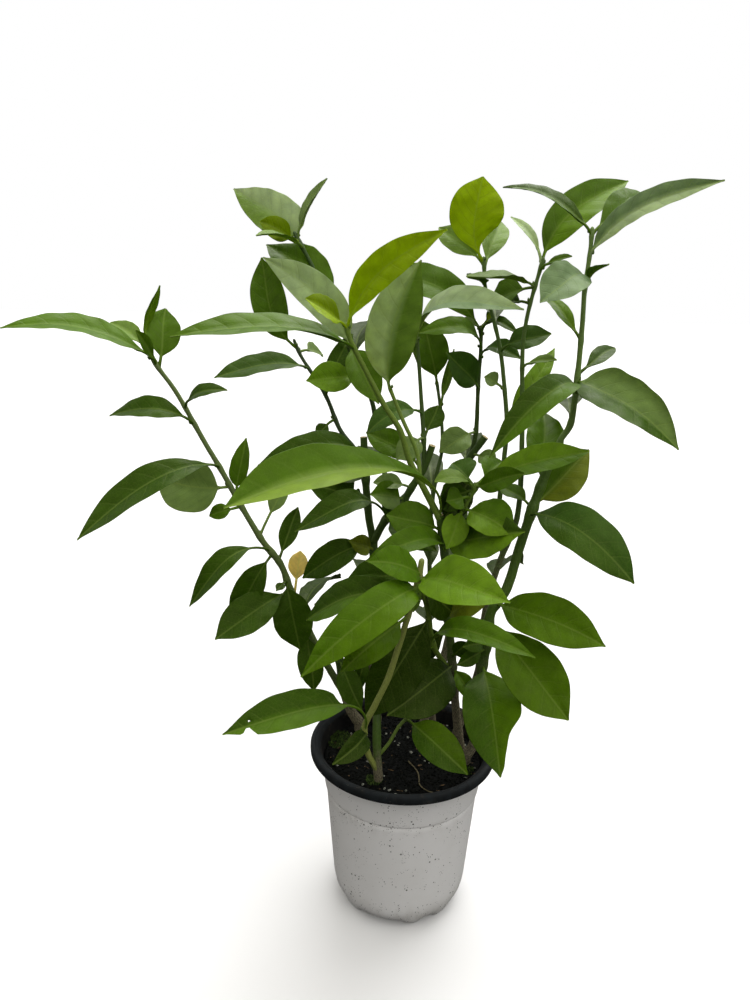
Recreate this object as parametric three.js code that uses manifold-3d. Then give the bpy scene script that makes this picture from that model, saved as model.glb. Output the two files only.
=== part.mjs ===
// Potted night-blooming jasmine: a thin-walled nursery pot filled with soil, and eight leafy canes that
// stand in plain holes in the soil. Millimetres, +Z up. The origin is the centre of the pot's underside.

import * as THREE from 'three';
import { mergeVertices } from 'three/addons/utils/BufferGeometryUtils.js';
import Module from 'manifold-3d';

const wasm = await Module();
wasm.setup();

// ---- Driving dimensions ----

const POT_HEIGHT = 147;
const WALL = 1.2;
const BASE_RADIUS = 45.7;
const CORNER_TOP = 25;
const BODY_RADIUS = 58.4;
const RING_HEIGHT = 108.7;
const RING_RADIUS = 65.3;
const RING_STEP = 1.2;
const COLLAR_RADIUS = 71.5;
const LIP_RADIUS = 79;
const LIP_HEIGHT = 7.5;
const POT_SIDES = 24;

// The underside stands on four pairs of feet, with raised spans between them and a drain hole in each.
const FOOT_PAIRS = 4;
const FIRST_PAIR_ANGLE = -63;
const FOOT_SPREAD = 15;
const FOOT_HALF_WIDTH = 8;
const SPAN_RAISE = 3.5;
const SPAN_INNER_RADIUS = 20;
const SPAN_TOP = 20;
const DRAIN_CIRCLE = 35;
const DRAIN_RADIUS = 4.5;

const SOIL_TOP = 131;
const SOIL_BUMP = 1.2;
const SEAT_GAP = 0.3;
const CANE_DEPTH = 42;
const HOLE_SIDES = 8;

const STEM_SIDES = 5;
const STEM_STEP = 36;
const LEAF_THICKNESS = 0.8;
const PETIOLE_HALF_WIDTH = 1.2;
const PETIOLE_THICKNESS = 2.2;
const LONGEST_PETIOLE = 0.45;
const EDGE_WAVE = 0.09;
const LEAF_HABIT = { side: 0, sweep: 0, petiole: 9, crest: 0.8, belly: 1, fold: 0.22 };

// Share of the blade's length, and the half width there as a share of the widest.
const BLADE_OUTLINE = [[0, 0.12], [0.18, 0.7], [0.42, 1], [0.74, 0.78], [1, 0.05]];
const SMALL_BLADE_OUTLINE = [[0, 0.14], [0.22, 0.75], [0.6, 0.95], [1, 0.08]];
const SMALL_WIDTH = 33;
const TINY_BLADE_OUTLINE = [[0, 0.14], [0.42, 1], [1, 0.08]];
const TINY_WIDTH = 18;

// ---- Colours ----

const FINISHES = {
  pot: { color: 0xb4b3ae, roughness: 0.5, metalness: 0 },
  soil: { color: 0x14110f, roughness: 1, metalness: 0 },
  leaf: { color: 0x3f6b1c, roughness: 0.45, metalness: 0 },
};

// ---- Canes ----
// A stem's route is a list of points. Its first point is at the soil, or on the stem that it grows from.
// A leaf is [stem, share along it, tip x, y, z, width, lean, arch, changes]: lean tips the upper face from
// straight up (0) towards the front (90) and arch bows the midrib along that face, as a share of the leaf's
// length. Its changes to LEAF_HABIT are side, which turns the face to the right, sweep, which bows the
// midrib across it, petiole in mm, crest, which moves the arch's top, belly, which moves the widest part,
// and fold, the rise of the edges.

const CANES = {
  cane_left: {
    stems: {
      trunk: {
        route: [[-38, 41, 137], [-45, 43, 146], [-53, 46, 168], [-57, 48, 192], [-60, 50, 235]],
        radii: [5, 2.6],
      },
      shoot: {
        route: [[-54, 47, 165], [-74, 37, 208], [-91, 29, 250], [-100, 25, 276], [-106, 21, 296],
          [-120, 14, 319], [-135, 9, 348], [-150, 4, 380], [-161, 0, 402], [-181, -6, 443],
          [-194, -10, 464], [-199, -12, 479]],
        radii: [3.4, 1.5],
      },
    },
    leaves: [
      ['shoot', 0.96, -282, -60, 489, 25, 32, 0.14],
      ['shoot', 0.99, -187, -10, 519, 9, 60, -0.12, { side: 65 }],
      ['shoot', 0.94, -190, 12, 503, 26, 60, 0.08, { side: 20 }],
      ['shoot', 0.98, -234, 15, 492, 15, 30, 0.08],
      ['shoot', 0.95, -197, -40, 488, 11, 70, 0.05, { side: 50 }],
      ['shoot', 0.8, -230, -12, 424, 21, 40, 0.22],
      ['shoot', 0.84, -139, -20, 446, 14, 40, 0.2],
      ['shoot', 0.69, -238, -70, 344, 27, 42, 0.19, { belly: 1.2 }],
      ['shoot', 0.64, -206, 18, 373, 42, 66, 0.06, { sweep: -0.1, belly: 0.75 }],
      ['shoot', 0.61, -132, 16, 404, 17, 70, 0.05, { side: -15, belly: 0.8 }],
      ['shoot', 0.5, -103, 36, 363, 15, 60, 0.05, { petiole: 22 }],
      ['shoot', 0.42, -94, 45, 340, 16, 80, 0.05],
      ['shoot', 0.455, -174, -20, 274, 20, 38, 0.34, { petiole: 16 }],
      ['shoot', 0.445, -146, 6, 249, 25, 60, 0.08],
      ['shoot', 0.33, -152, -30, 251, 31, 55, 0.12, { petiole: 14, belly: 1.2 }],
      ['shoot', 0.37, -89, 8, 225, 33, 80, 0.08],
      ['shoot', 0.22, -78, 14, 183, 22, 80, 0.05],
      ['shoot', 0.36, -108, 6, 279, 8, 50, 0.1],
      ['shoot', 0.31, -93, 53, 298, 17, 85, 0.05, { petiole: 17 }],
      ['trunk', 0.62, -36, 12, 167, 22, 75, 0.1],
      ['shoot', 0.25, -60, 112, 252, 27, -40, 0.15],
      ['shoot', 0.585, -161, 4, 342, 13, 60, 0.1],
    ],
  },
  cane_back: {
    stems: {
      trunk: {
        route: [[-22, 50, 137], [-28, 54, 163], [-33, 55, 203], [-31, 54, 253], [-29, 50, 306],
          [-33, 50, 328], [-36, 50, 355], [-39, 50, 401]],
        radii: [4.2, 3],
      },
      left_shoot: {
        route: [[-37, 50, 371], [-46, 54, 389], [-59, 58, 405], [-72, 62, 434], [-94, 68, 467],
          [-99, 70, 478]],
        radii: [2.2, 1.3],
      },
      fork: {
        route: [[-30, 50, 306], [-19, 42, 331], [-7, 36, 346], [2, 30, 363], [12, 25, 383],
          [17, 22, 400]],
        radii: [3.4, 2.8],
      },
      tall_shoot: {
        route: [[-16, 41, 335], [-21, 55, 372], [-28, 60, 408], [-33, 58, 431], [-41, 56, 450],
          [-51, 54, 472], [-58, 52, 488], [-68, 48, 512], [-91, 42, 554], [-95, 42, 561]],
        radii: [2.4, 1.4],
      },
      middle_shoot: {
        route: [[11, 25, 382], [10, 26, 404], [7, 28, 436], [3, 28, 475], [2, 28, 483]],
        radii: [2, 1.3],
      },
    },
    leaves: [
      ['trunk', 0.65, -89, 30, 281, 27, 55, 0.25, { petiole: 14 }],
      ['trunk', 0.45, -46, 138, 262, 29, -45, 0.15],
      ['trunk', 0.86, -22, 140, 372, 27, -40, 0.15],
      ['trunk', 0.62, -49, 26, 317, 18, 60, 0.1],
      ['trunk', 0.94, -124, 20, 381, 27, 40, 0.2],
      ['trunk', 0.78, -85, 20, 368, 31, 60, 0.1],
      ['fork', 0.28, -92, 0, 332, 26, 32, 0.3, { petiole: 20 }],
      ['fork', 0.25, 22, 0, 318, 26, 50, 0.12],
      ['fork', 0.5, -32, 8, 362, 25, 62, 0.12],
      ['fork', 0.78, -37, 40, 407, 24, 50, 0.2],
      ['left_shoot', 0.79, -161, 40, 449, 26, 38, 0.12],
      ['left_shoot', 0.41, -79, 50, 401, 12, 50, 0.1],
      ['left_shoot', 0.95, -127, 80, 545, 29, 80, 0.08, { side: 10, sweep: -0.12 }],
      ['left_shoot', 0.92, -77, 92, 467, 18, 50, 0.1],
      ['tall_shoot', 0.96, -149, 80, 598, 35, 70, 0.05, { sweep: 0.05, belly: 0.58 }],
      ['tall_shoot', 0.97, -120, 28, 568, 18, 80, 0.1],
      ['tall_shoot', 0.98, -71, 50, 603, 14, 60, 0.08, { side: -55 }],
      ['tall_shoot', 0.95, -118, -2, 556, 12, 25, 0.1],
      ['tall_shoot', 0.73, -120, 60, 554, 35, 45, 0.2, { belly: 0.9 }],
      ['tall_shoot', 0.6, -115, 8, 541, 29, 72, 0.12, { sweep: 0.08 }],
      ['tall_shoot', 0.5, -85, 30, 449, 26, 65, 0.03],
      ['tall_shoot', 0.62, -27, 20, 433, 26, 68, 0.06],
      ['middle_shoot', 0.42, -36, 8, 411, 23, 40, 0.28],
      ['tall_shoot', 0.55, -34, 132, 496, 27, -35, 0.12],
      ['middle_shoot', 0.21, 22, 42, 430, 18, 60, 0.05],
      ['middle_shoot', 0.23, -12, 2, 392, 20, 60, 0.15],
      ['middle_shoot', 0.82, -8, 52, 500, 18, 65, 0.1, { side: -30 }],
      ['middle_shoot', 0.98, 71, -42, 508, 26, 45, 0.25],
      ['fork', 0.5, -19, 12, 341, 24, 70, 0.1],
      ['fork', 0.62, -30, 24, 368, 17, 40, 0.12],
      ['trunk', 0.87, -60, 20, 369, 17, 40, 0.1],
      ['left_shoot', 0.58, -50, 66, 485, 17, 60, 0.2],
      ['trunk', 0.2, -47, 40, 194, 7, 60, 0.1],
      ['trunk', 0.26, -41, 34, 170, 13, 70, 0.05],
    ],
  },
  cane_front: {
    stems: {
      trunk: {
        route: [[-21, -38, 137], [-22, -39, 150], [-23, -38, 187], [-22, -26, 212]],
        radii: [3.7, 3.1],
      },
      shoot: {
        route: [[-22, -39, 143], [-30, -45, 163], [-33, -50, 187], [-25, -54, 210], [-16, -58, 234],
          [-9, -60, 260], [-4, -62, 281], [4, -64, 316], [6, -65, 331]],
        radii: [2.5, 2.2],
      },
      low_shoot: {
        route: [[-22, -39, 155], [-13, -37, 166], [-5, -34, 180], [2, -32, 187]],
        radii: [1.5, 1.3],
      },
    },
    leaves: [
      ['shoot', 0.95, -32, -100, 343, 26, 50, 0.12, { petiole: 4 }],
      ['shoot', 0.87, -74, -132, 274, 29, 52, 0.29, { petiole: 5, crest: 0.66, belly: 0.95 }],
      ['shoot', 0.78, -50, -92, 257, 24, 60, 0.3, { crest: 1.6 }],
      ['shoot', 0.84, -79, -46, 276, 28, 40, 0.28, { petiole: 5 }],
      ['shoot', 0.23, -131, -110, 217, 29, 32, 0.3, { petiole: 36, crest: 0.7, fold: 0.36 }],
      ['shoot', 0.21, -55, -92, 183, 17, 60, 0.25, { side: 10 }],
      ['shoot', 0.92, 58, -132, 329, 36, 48, 0.12],
      ['low_shoot', 0.96, 47, -72, 163, 28, 55, 0.15],
      ['shoot', 0.93, 1, -69, 294, 8, 80, 0.1, { petiole: 4 }],
      ['shoot', 0.88, -74, -32, 283, 23, 50, 0.2, { petiole: 4 }],
    ],
  },
  cane_middle: {
    stems: {
      trunk: {
        route: [[51, 4, 137], [47, 4, 160], [41, 4, 205], [37, 2, 240], [31, 0, 276], [29, -2, 311],
          [23, -6, 350]],
        radii: [3.8, 3],
      },
      front_shoot: {
        route: [[40, 4, 209], [28, -4, 227], [21, -12, 243], [16, -22, 272], [10, -31, 297],
          [8, -36, 309]],
        radii: [2.6, 1.8],
      },
      tall_shoot: {
        route: [[24, -5, 345], [10, -12, 371], [-3, -20, 396], [-11, -28, 420], [-23, -36, 439],
          [-37, -46, 465], [-48, -54, 487], [-50, -56, 495]],
        radii: [2.8, 1.5],
      },
      side_shoot: {
        route: [[6, -15, 378], [3, -13, 400], [-9, -14, 426], [-19, -16, 449]],
        radii: [1.8, 1.3],
      },
      right_shoot: {
        route: [[29, -2, 318], [33, -5, 336], [41, -8, 356], [51, -10, 377]],
        radii: [2.1, 1.3],
      },
    },
    leaves: [
      ['trunk', 0.845, -34, -62, 330, 21, 40, 0.23, { fold: 0.45 }],
      ['trunk', 0.88, 81, -50, 351, 38, 52, 0.02, { petiole: 5 }],
      ['right_shoot', 0.6, 27, -30, 330, 21, 66, 0.1, { petiole: 4 }],
      ['trunk', 0.58, 63, -32, 291, 24, 50, 0.15],
      ['trunk', 0.41, 50, -15, 246, 14, 60, 0.1],
      ['trunk', 0.37, -15, -50, 199, 42, 62, 0.15],
      ['front_shoot', 0.99, -50, -26, 300, 27, 50, 0.15],
      ['front_shoot', 0.38, 91, -72, 262, 23, 40, 0.27, { petiole: 14 }],
      ['front_shoot', 0.35, -22, -38, 201, 27, 58, 0.18, { petiole: 10 }],
      ['front_shoot', 0.62, -32, -46, 194, 40, 74, 0.03, { petiole: 6 }],
      ['tall_shoot', 0.9, -154, -112, 488, 27, 28, 0.1],
      ['tall_shoot', 0.99, -75, -80, 512, 20, 50, 0.05],
      ['tall_shoot', 0.98, 10, -112, 552, 22, 75, 0.05, { side: -10, sweep: -0.1 }],
      ['tall_shoot', 0.02, -119, -140, 389, 38, 32, 0.21, { petiole: 30, crest: 0.72, belly: 1.8, fold: 0.4 }],
      ['side_shoot', 0.98, -1, -52, 538, 36, 78, 0.06, { sweep: -0.09 }],
      ['right_shoot', 0.62, 74, -42, 346, 33, 50, 0.14],
      ['right_shoot', 0.98, 131, -22, 406, 25, 42, 0.1, { petiole: 12 }],
      ['right_shoot', 0.94, 79, -44, 393, 18, 62, 0.05, { petiole: 6 }],
      ['right_shoot', 0.93, 32, 8, 389, 27, 55, 0.12],
      ['right_shoot', 0.88, 16, -28, 382, 19, 22, 0.22],
      ['right_shoot', 0.8, 26, -24, 366, 19, 60, 0.05],
      ['right_shoot', 0.7, 28, -10, 355, 15, 50, 0.1],
      ['right_shoot', 0.97, 74, 18, 389, 25, 55, 0.12],
      ['trunk', 0.36, 59, -26, 198, 15, 68, 0.05, { petiole: 5 }],
      ['trunk', 0.27, 32, -6, 189, 7, 60, 0.2, { petiole: 3 }],
      ['trunk', 0.93, -19, -12, 351, 32, 52, 0.12],
      ['trunk', 0.52, -6, 18, 218, 31, 70, 0.08, { petiole: 6 }],
      ['right_shoot', 0.9, 22, 2, 358, 24, 62, 0.1, { petiole: 5 }],
      ['trunk', 0.97, 47, 6, 376, 24, 75, 0.08, { petiole: 4 }],
      ['front_shoot', 0.9, 35, -14, 272, 28, 60, 0.1, { petiole: 4 }],
      ['front_shoot', 0.8, -20, -22, 283, 24, 60, 0.1, { petiole: 4 }],
    ],
  },
  cane_thin: {
    stems: {
      trunk: {
        route: [[30, 47, 137], [27, 51, 160], [24, 55, 194], [23, 60, 251], [21, 62, 326], [25, 66, 366],
          [29, 70, 387], [28, 74, 413], [23, 78, 445]],
        radii: [2.8, 1.3],
      },
    },
    leaves: [
      ['trunk', 0.99, 11, 92, 496, 31, 78, 0.05],
      ['trunk', 0.28, 22, 134, 214, 25, -50, 0.1],
      ['trunk', 0.44, 2, 146, 300, 27, -45, 0.15],
      ['trunk', 0.66, 16, 152, 372, 25, -40, 0.15],
      ['trunk', 0.93, 36, 74, 474, 8, 60, 0.05],
    ],
  },
  cane_pruned: {
    stems: {
      trunk: {
        route: [[16, 24, 137], [26, 34, 165], [40, 48, 217], [49, 66, 288], [52, 76, 341], [52, 80, 372],
          [67, 76, 399]],
        radii: [3.7, 3.2],
      },
      shoot: {
        route: [[55, 79, 380], [59, 80, 400], [59, 80, 439], [59, 78, 482], [58, 78, 492]],
        radii: [2.2, 1.3],
      },
    },
    leaves: [
      ['trunk', 0.5, 76, 154, 288, 30, -45, 0.15],
      ['trunk', 0.88, 68, 166, 386, 26, -40, 0.12],
      ['shoot', 0.2, 26, 58, 388, 26, 50, 0.1],
      ['shoot', 0.97, -24, 122, 540, 34, 60, 0.22],
      ['shoot', 0.84, 4, 58, 487, 21, 42, 0.3],
      ['shoot', 0.99, 75, 92, 508, 10, 50, 0.1],
      ['shoot', 0.93, 87, 56, 488, 12, 32, 0.4],
      ['shoot', 0.76, 88, 48, 469, 19, 38, 0.28],
      ['shoot', 0.54, 28, 50, 472, 27, 70, 0.08],
      ['trunk', 0.93, 75, 60, 379, 17, 60, 0.1],
      ['shoot', 0.98, 41, 66, 499, 8, 50, 0.1],
      ['shoot', 0.99, 72, 84, 503, 10, 50, 0.1],
    ],
  },
  cane_slender: {
    stems: {
      trunk: {
        route: [[49, 27, 137], [58, 29, 165], [67, 28, 209], [69, 30, 255], [79, 30, 301], [90, 28, 337],
          [89, 25, 414], [85, 22, 462], [84, 20, 485], [86, 18, 507], [93, 12, 544]],
        radii: [3.4, 1.3],
      },
      upper_shoot: {
        route: [[81, 30, 306], [78, 44, 340], [80, 46, 412], [76, 44, 443], [70, 42, 476], [63, 40, 499],
          [55, 38, 522], [52, 36, 545]],
        radii: [2.4, 1.3],
      },
    },
    leaves: [
      ['trunk', 0.35, 116, 112, 270, 28, -45, 0.15],
      ['trunk', 0.8, 105, -4, 472, 12, 40, 0.1],
      ['trunk', 0.99, 163, 52, 606, 29, 65, 0.09, { sweep: -0.1, belly: 0.88 }],
      ['trunk', 0.99, 72, 42, 577, 8, 35, 0.16],
      ['trunk', 0.98, 110, -4, 546, 9, 40, 0.1],
      ['trunk', 0.95, 33, -22, 530, 20, 14, 0.06],
      ['trunk', 0.92, 68, 34, 512, 14, 50, 0.1],
      ['upper_shoot', 0.43, 123, 82, 476, 17, 50, 0.1],
      ['upper_shoot', 0.99, 47, 28, 603, 41, 82, 0.03, { sweep: -0.12, belly: 1.3 }],
      ['upper_shoot', 0.98, 18, 62, 570, 22, 70, 0.1],
      ['upper_shoot', 0.97, 70, 82, 578, 20, 75, 0.08],
      ['upper_shoot', 0.9, 36, -4, 530, 14, 30, 0.1],
      ['upper_shoot', 0.78, 66, 128, 516, 23, -30, 0.1],
      ['trunk', 0.95, 60, 42, 511, 26, 55, 0.1],
      ['upper_shoot', 0.57, 59, 44, 454, 16, 50, 0.1],
      ['upper_shoot', 0.7, 107, 28, 490, 23, 50, 0.14],
    ],
  },
  cane_right: {
    stems: {
      trunk: {
        route: [[54, -9, 137], [60, -9, 150], [63, -9, 178], [63, -8, 218], [66, -8, 245], [68, -6, 269],
          [79, -4, 287], [89, 0, 325], [99, 2, 362], [110, 4, 398]],
        radii: [4.4, 3.7],
      },
      shoot: {
        route: [[106, 3, 388], [114, 0, 410], [120, -2, 422], [121, -6, 442], [121, -8, 465],
          [120, -12, 501], [119, -14, 522], [120, -16, 549], [120, -16, 563]],
        radii: [2.6, 1.4],
      },
    },
    leaves: [
      ['shoot', 0.9, 181, -80, 587, 21, 55, 0.07, { sweep: -0.1, petiole: 5, belly: 0.85 }],
      ['shoot', 0.98, 176, 42, 593, 24, 50, 0.12],
      ['shoot', 0.98, 60, 12, 594, 17, 30, 0.14],
      ['shoot', 0.8, 78, -62, 513, 30, 50, 0.2, { belly: 1.5 }],
      ['shoot', 0.78, 121, -60, 538, 11, 60, 0.1],
      ['shoot', 0.57, 99, 32, 518, 12, 50, 0.1],
      ['shoot', 0.43, 159, 30, 480, 14, 50, 0.1],
      ['shoot', 0.35, 49, -72, 410, 23, 45, 0.3],
      ['shoot', 0.4, 177, -72, 418, 38, 47, 0.11, { petiole: 3, belly: 0.78 }],
      ['trunk', 0.84, 146, 30, 398, 32, 75, 0.05, { belly: 0.9 }],
      ['shoot', 0.22, 140, 92, 424, 28, -40, 0.15],
      ['trunk', 0.9, 113, 62, 424, 30, 60, 0.1],
      ['trunk', 0.83, 76, 32, 366, 16, 50, 0.1],
      ['trunk', 0.81, 161, -62, 317, 38, 55, 0.28, { belly: 1.1 }],
      ['trunk', 0.52, 145, -62, 267, 38, 55, 0.15],
      ['trunk', 0.46, 120, -72, 211, 44, 65, 0.12, { belly: 1.3 }],
      ['trunk', 0.32, 68, -92, 175, 45, 70, 0.12],
      ['trunk', 0.38, 40, -28, 232, 13, 70, 0.1],
      ['trunk', 0.4, 44, -28, 248, 13, 65, 0.1],
    ],
  },
};

// ---- Helpers ----

const radians = THREE.MathUtils.degToRad;
const lerp = THREE.MathUtils.lerp;

// Evenly spread numbers from 0 to 1, the same at every run.
function seededRandom(seed) {
  let state = seed;
  return () => {
    state = (state * 16807) % 2147483647;
    return state / 2147483647;
  };
}

function toSolid(geometry) {
  const bare = geometry.clone();
  bare.deleteAttribute('normal');
  bare.deleteAttribute('uv');
  const merged = mergeVertices(bare, 1e-4);
  return new wasm.Manifold(new wasm.Mesh({
    numProp: 3,
    vertProperties: Float32Array.from(merged.attributes.position.array),
    triVerts: Uint32Array.from(merged.index.array),
  }));
}

function toMesh(name, solid, finish) {
  const { vertProperties, triVerts } = solid.getMesh();
  const geometry = new THREE.BufferGeometry();
  geometry.setAttribute('position', new THREE.BufferAttribute(vertProperties, 3));
  geometry.setIndex(new THREE.BufferAttribute(triVerts, 1));
  geometry.computeVertexNormals();
  const mesh = new THREE.Mesh(geometry, new THREE.MeshStandardMaterial(finish));
  mesh.name = name;
  return mesh;
}

// A closed skin over rings of equal count, with flat ends. The sides in `mirrored` are split along the
// other diagonal, so that a thin blade's two faces are split alike.
function loft(rings, mirrored = []) {
  const count = rings[0].length;
  const indices = [];
  for (let i = 0; i + 1 < rings.length; i += 1) {
    for (let k = 0; k < count; k += 1) {
      const next = (k + 1) % count;
      const [a, b] = [i * count + k, i * count + next];
      const [c, d] = [a + count, b + count];
      if (mirrored.includes(k)) indices.push(a, b, c, b, d, c);
      else indices.push(a, b, d, a, d, c);
    }
  }
  const last = (rings.length - 1) * count;
  for (let k = 1; k + 1 < count; k += 1) {
    indices.push(0, k + 1, k);
    indices.push(last, last + k, last + k + 1);
  }
  const geometry = new THREE.BufferGeometry();
  const points = rings.flat().flatMap((p) => [p.x, p.y, p.z]);
  geometry.setAttribute('position', new THREE.Float32BufferAttribute(points, 3));
  geometry.setIndex(indices);
  return geometry;
}

// ---- Pot and soil ----

// How far the underside is lifted at an angle, between the feet.
function spanLift(angle) {
  let nearest = 180;
  for (let pair = 0; pair < FOOT_PAIRS; pair += 1) {
    const middle = FIRST_PAIR_ANGLE + pair * 360 / FOOT_PAIRS;
    for (const foot of [middle - FOOT_SPREAD, middle + FOOT_SPREAD]) {
      const apart = Math.abs(THREE.MathUtils.euclideanModulo(angle - foot + 180, 360) - 180);
      nearest = Math.min(nearest, apart);
    }
  }
  return THREE.MathUtils.smoothstep(nearest, FOOT_HALF_WIDTH * 0.4, FOOT_HALF_WIDTH * 1.4);
}

// Turns a profile of [radius, height] round the axis and lifts the spans between the feet. A profile that
// runs downwards has its faces turned over, so that soil is split into the same facets as the pot's inside.
function turned(profile, shape = (x, y, z) => z, downwards = false) {
  const points = profile.map(([radius, height]) => new THREE.Vector2(radius, height));
  const lathe = new THREE.LatheGeometry(points, POT_SIDES);
  lathe.rotateX(Math.PI / 2);
  if (downwards) lathe.index.array.reverse();
  const position = lathe.attributes.position;
  for (let i = 0; i < position.count; i += 1) {
    const [x, y, z] = [position.getX(i), position.getY(i), position.getZ(i)];
    const radius = Math.hypot(x, y);
    const inward = THREE.MathUtils.smoothstep(radius, SPAN_INNER_RADIUS, DRAIN_CIRCLE - DRAIN_RADIUS);
    const upward = 1 - THREE.MathUtils.smoothstep(z, 0, SPAN_TOP);
    const angle = THREE.MathUtils.radToDeg(Math.atan2(y, x));
    position.setZ(i, shape(x, y, z + SPAN_RAISE * spanLift(angle) * inward * upward));
  }
  return toSolid(lathe);
}

// The rounded foot of the wall, from the base up to the body, moved in by `inset`.
function foot(inset) {
  const curve = new THREE.CubicBezierCurve(
    new THREE.Vector2(BASE_RADIUS, 0),
    new THREE.Vector2(BASE_RADIUS + 6, 1.5),
    new THREE.Vector2(BODY_RADIUS - 1.5, CORNER_TOP - 15),
    new THREE.Vector2(BODY_RADIUS, CORNER_TOP),
  );
  return [0, 0.33, 0.66, 1].map((share) => {
    const point = curve.getPoint(share);
    const tangent = curve.getTangent(share);
    return [point.x - inset * tangent.y, point.y + inset * tangent.x];
  });
}

function makePot() {
  const lipFoot = POT_HEIGHT - LIP_HEIGHT;
  const outside = [
    [0, 0], [SPAN_INNER_RADIUS, 0], [DRAIN_CIRCLE - DRAIN_RADIUS, 0], ...foot(0),
    [RING_RADIUS, RING_HEIGHT], [RING_RADIUS + RING_STEP, RING_HEIGHT + 0.8],
    [COLLAR_RADIUS, POT_HEIGHT - 4], [LIP_RADIUS - 3, POT_HEIGHT - 2.2], [LIP_RADIUS - 1.5, POT_HEIGHT - 3.4],
    [LIP_RADIUS - 1.3, lipFoot],
  ];
  const inside = [
    [LIP_RADIUS, lipFoot], [LIP_RADIUS + 0.3, lipFoot + 3], [LIP_RADIUS - 0.4, POT_HEIGHT - 1.2],
    [LIP_RADIUS - 2, POT_HEIGHT], [LIP_RADIUS - 4, POT_HEIGHT - 0.3], [LIP_RADIUS - 5.4, POT_HEIGHT - 1.6],
    [COLLAR_RADIUS - WALL, POT_HEIGHT - 4.4], [RING_RADIUS + RING_STEP - WALL, RING_HEIGHT + 0.8],
    [RING_RADIUS - WALL, RING_HEIGHT - 0.6], ...foot(WALL).reverse(),
    [DRAIN_CIRCLE - DRAIN_RADIUS, WALL], [SPAN_INNER_RADIUS, WALL], [0, WALL],
  ];
  let pot = turned([...outside, ...inside]);
  const drain = new THREE.CylinderGeometry(DRAIN_RADIUS, DRAIN_RADIUS, 20, HOLE_SIDES);
  drain.rotateX(Math.PI / 2);
  for (let pair = 0; pair < FOOT_PAIRS; pair += 1) {
    const angle = radians(FIRST_PAIR_ANGLE + (pair + 0.5) * 360 / FOOT_PAIRS);
    const hole = drain.clone().translate(DRAIN_CIRCLE * Math.cos(angle), DRAIN_CIRCLE * Math.sin(angle), 0);
    pot = pot.subtract(toSolid(hole));
  }
  return pot;
}

// The soil's top is slightly uneven.
function soilTop(x, y) {
  return SOIL_BUMP * (Math.sin(x / 9 + 1) * Math.cos(y / 11) + 0.6 * Math.sin((x + y) / 6));
}

function makeSoil() {
  const inset = WALL + SEAT_GAP;
  const collarSlope = (COLLAR_RADIUS - RING_RADIUS - RING_STEP) / (POT_HEIGHT - 4 - RING_HEIGHT);
  const edge = RING_RADIUS + RING_STEP + collarSlope * (SOIL_TOP - RING_HEIGHT) - inset;
  const profile = [
    [0, inset], [SPAN_INNER_RADIUS, inset], [DRAIN_CIRCLE - DRAIN_RADIUS, inset], ...foot(inset),
    [RING_RADIUS - inset, RING_HEIGHT - 0.6], [RING_RADIUS + RING_STEP - inset, RING_HEIGHT + 1.4],
    [edge - 0.4, SOIL_TOP - 2], [edge - 2, SOIL_TOP],
    [46, SOIL_TOP], [23, SOIL_TOP], [0, SOIL_TOP],
  ];
  const uneven = (x, y, z) => (z < SOIL_TOP - 0.01 ? z : z + soilTop(x, y));
  return turned(profile.reverse(), uneven, true);
}

// ---- Stems and leaves ----

function ring(centre, across, up, radius) {
  return Array.from({ length: STEM_SIDES }, (unused, k) => {
    const angle = 2 * Math.PI * k / STEM_SIDES;
    return centre.clone()
      .addScaledVector(across, radius * Math.cos(angle))
      .addScaledVector(up, radius * Math.sin(angle));
  });
}

// A tapered stem along its route. A stem that starts at the soil goes straight down into it.
function makeStem(curve, [baseRadius, tipRadius], rooted) {
  const spans = Math.max(2, Math.round(curve.getLength() / STEM_STEP));
  const { normals, binormals } = curve.computeFrenetFrames(spans);
  const rings = [];
  for (let i = 0; i <= spans; i += 1) {
    const centre = curve.getPointAt(i / spans);
    rings.push(ring(centre, normals[i], binormals[i], lerp(baseRadius, tipRadius, i / spans)));
  }
  if (rooted) {
    const { x, y, z } = curve.getPoint(0);
    const across = normals[0].clone().setZ(0).normalize();
    const up = new THREE.Vector3(0, 0, 1).cross(across);
    const upright = [SOIL_TOP - CANE_DEPTH, z].map(
      (height) => ring(new THREE.Vector3(x, y, height), across, up, baseRadius));
    rings.splice(0, 1, ...upright);
  }
  return toSolid(loft(rings));
}

function outlineFor(width) {
  if (width < TINY_WIDTH) return TINY_BLADE_OUTLINE;
  return width < SMALL_WIDTH ? SMALL_BLADE_OUTLINE : BLADE_OUTLINE;
}

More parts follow.
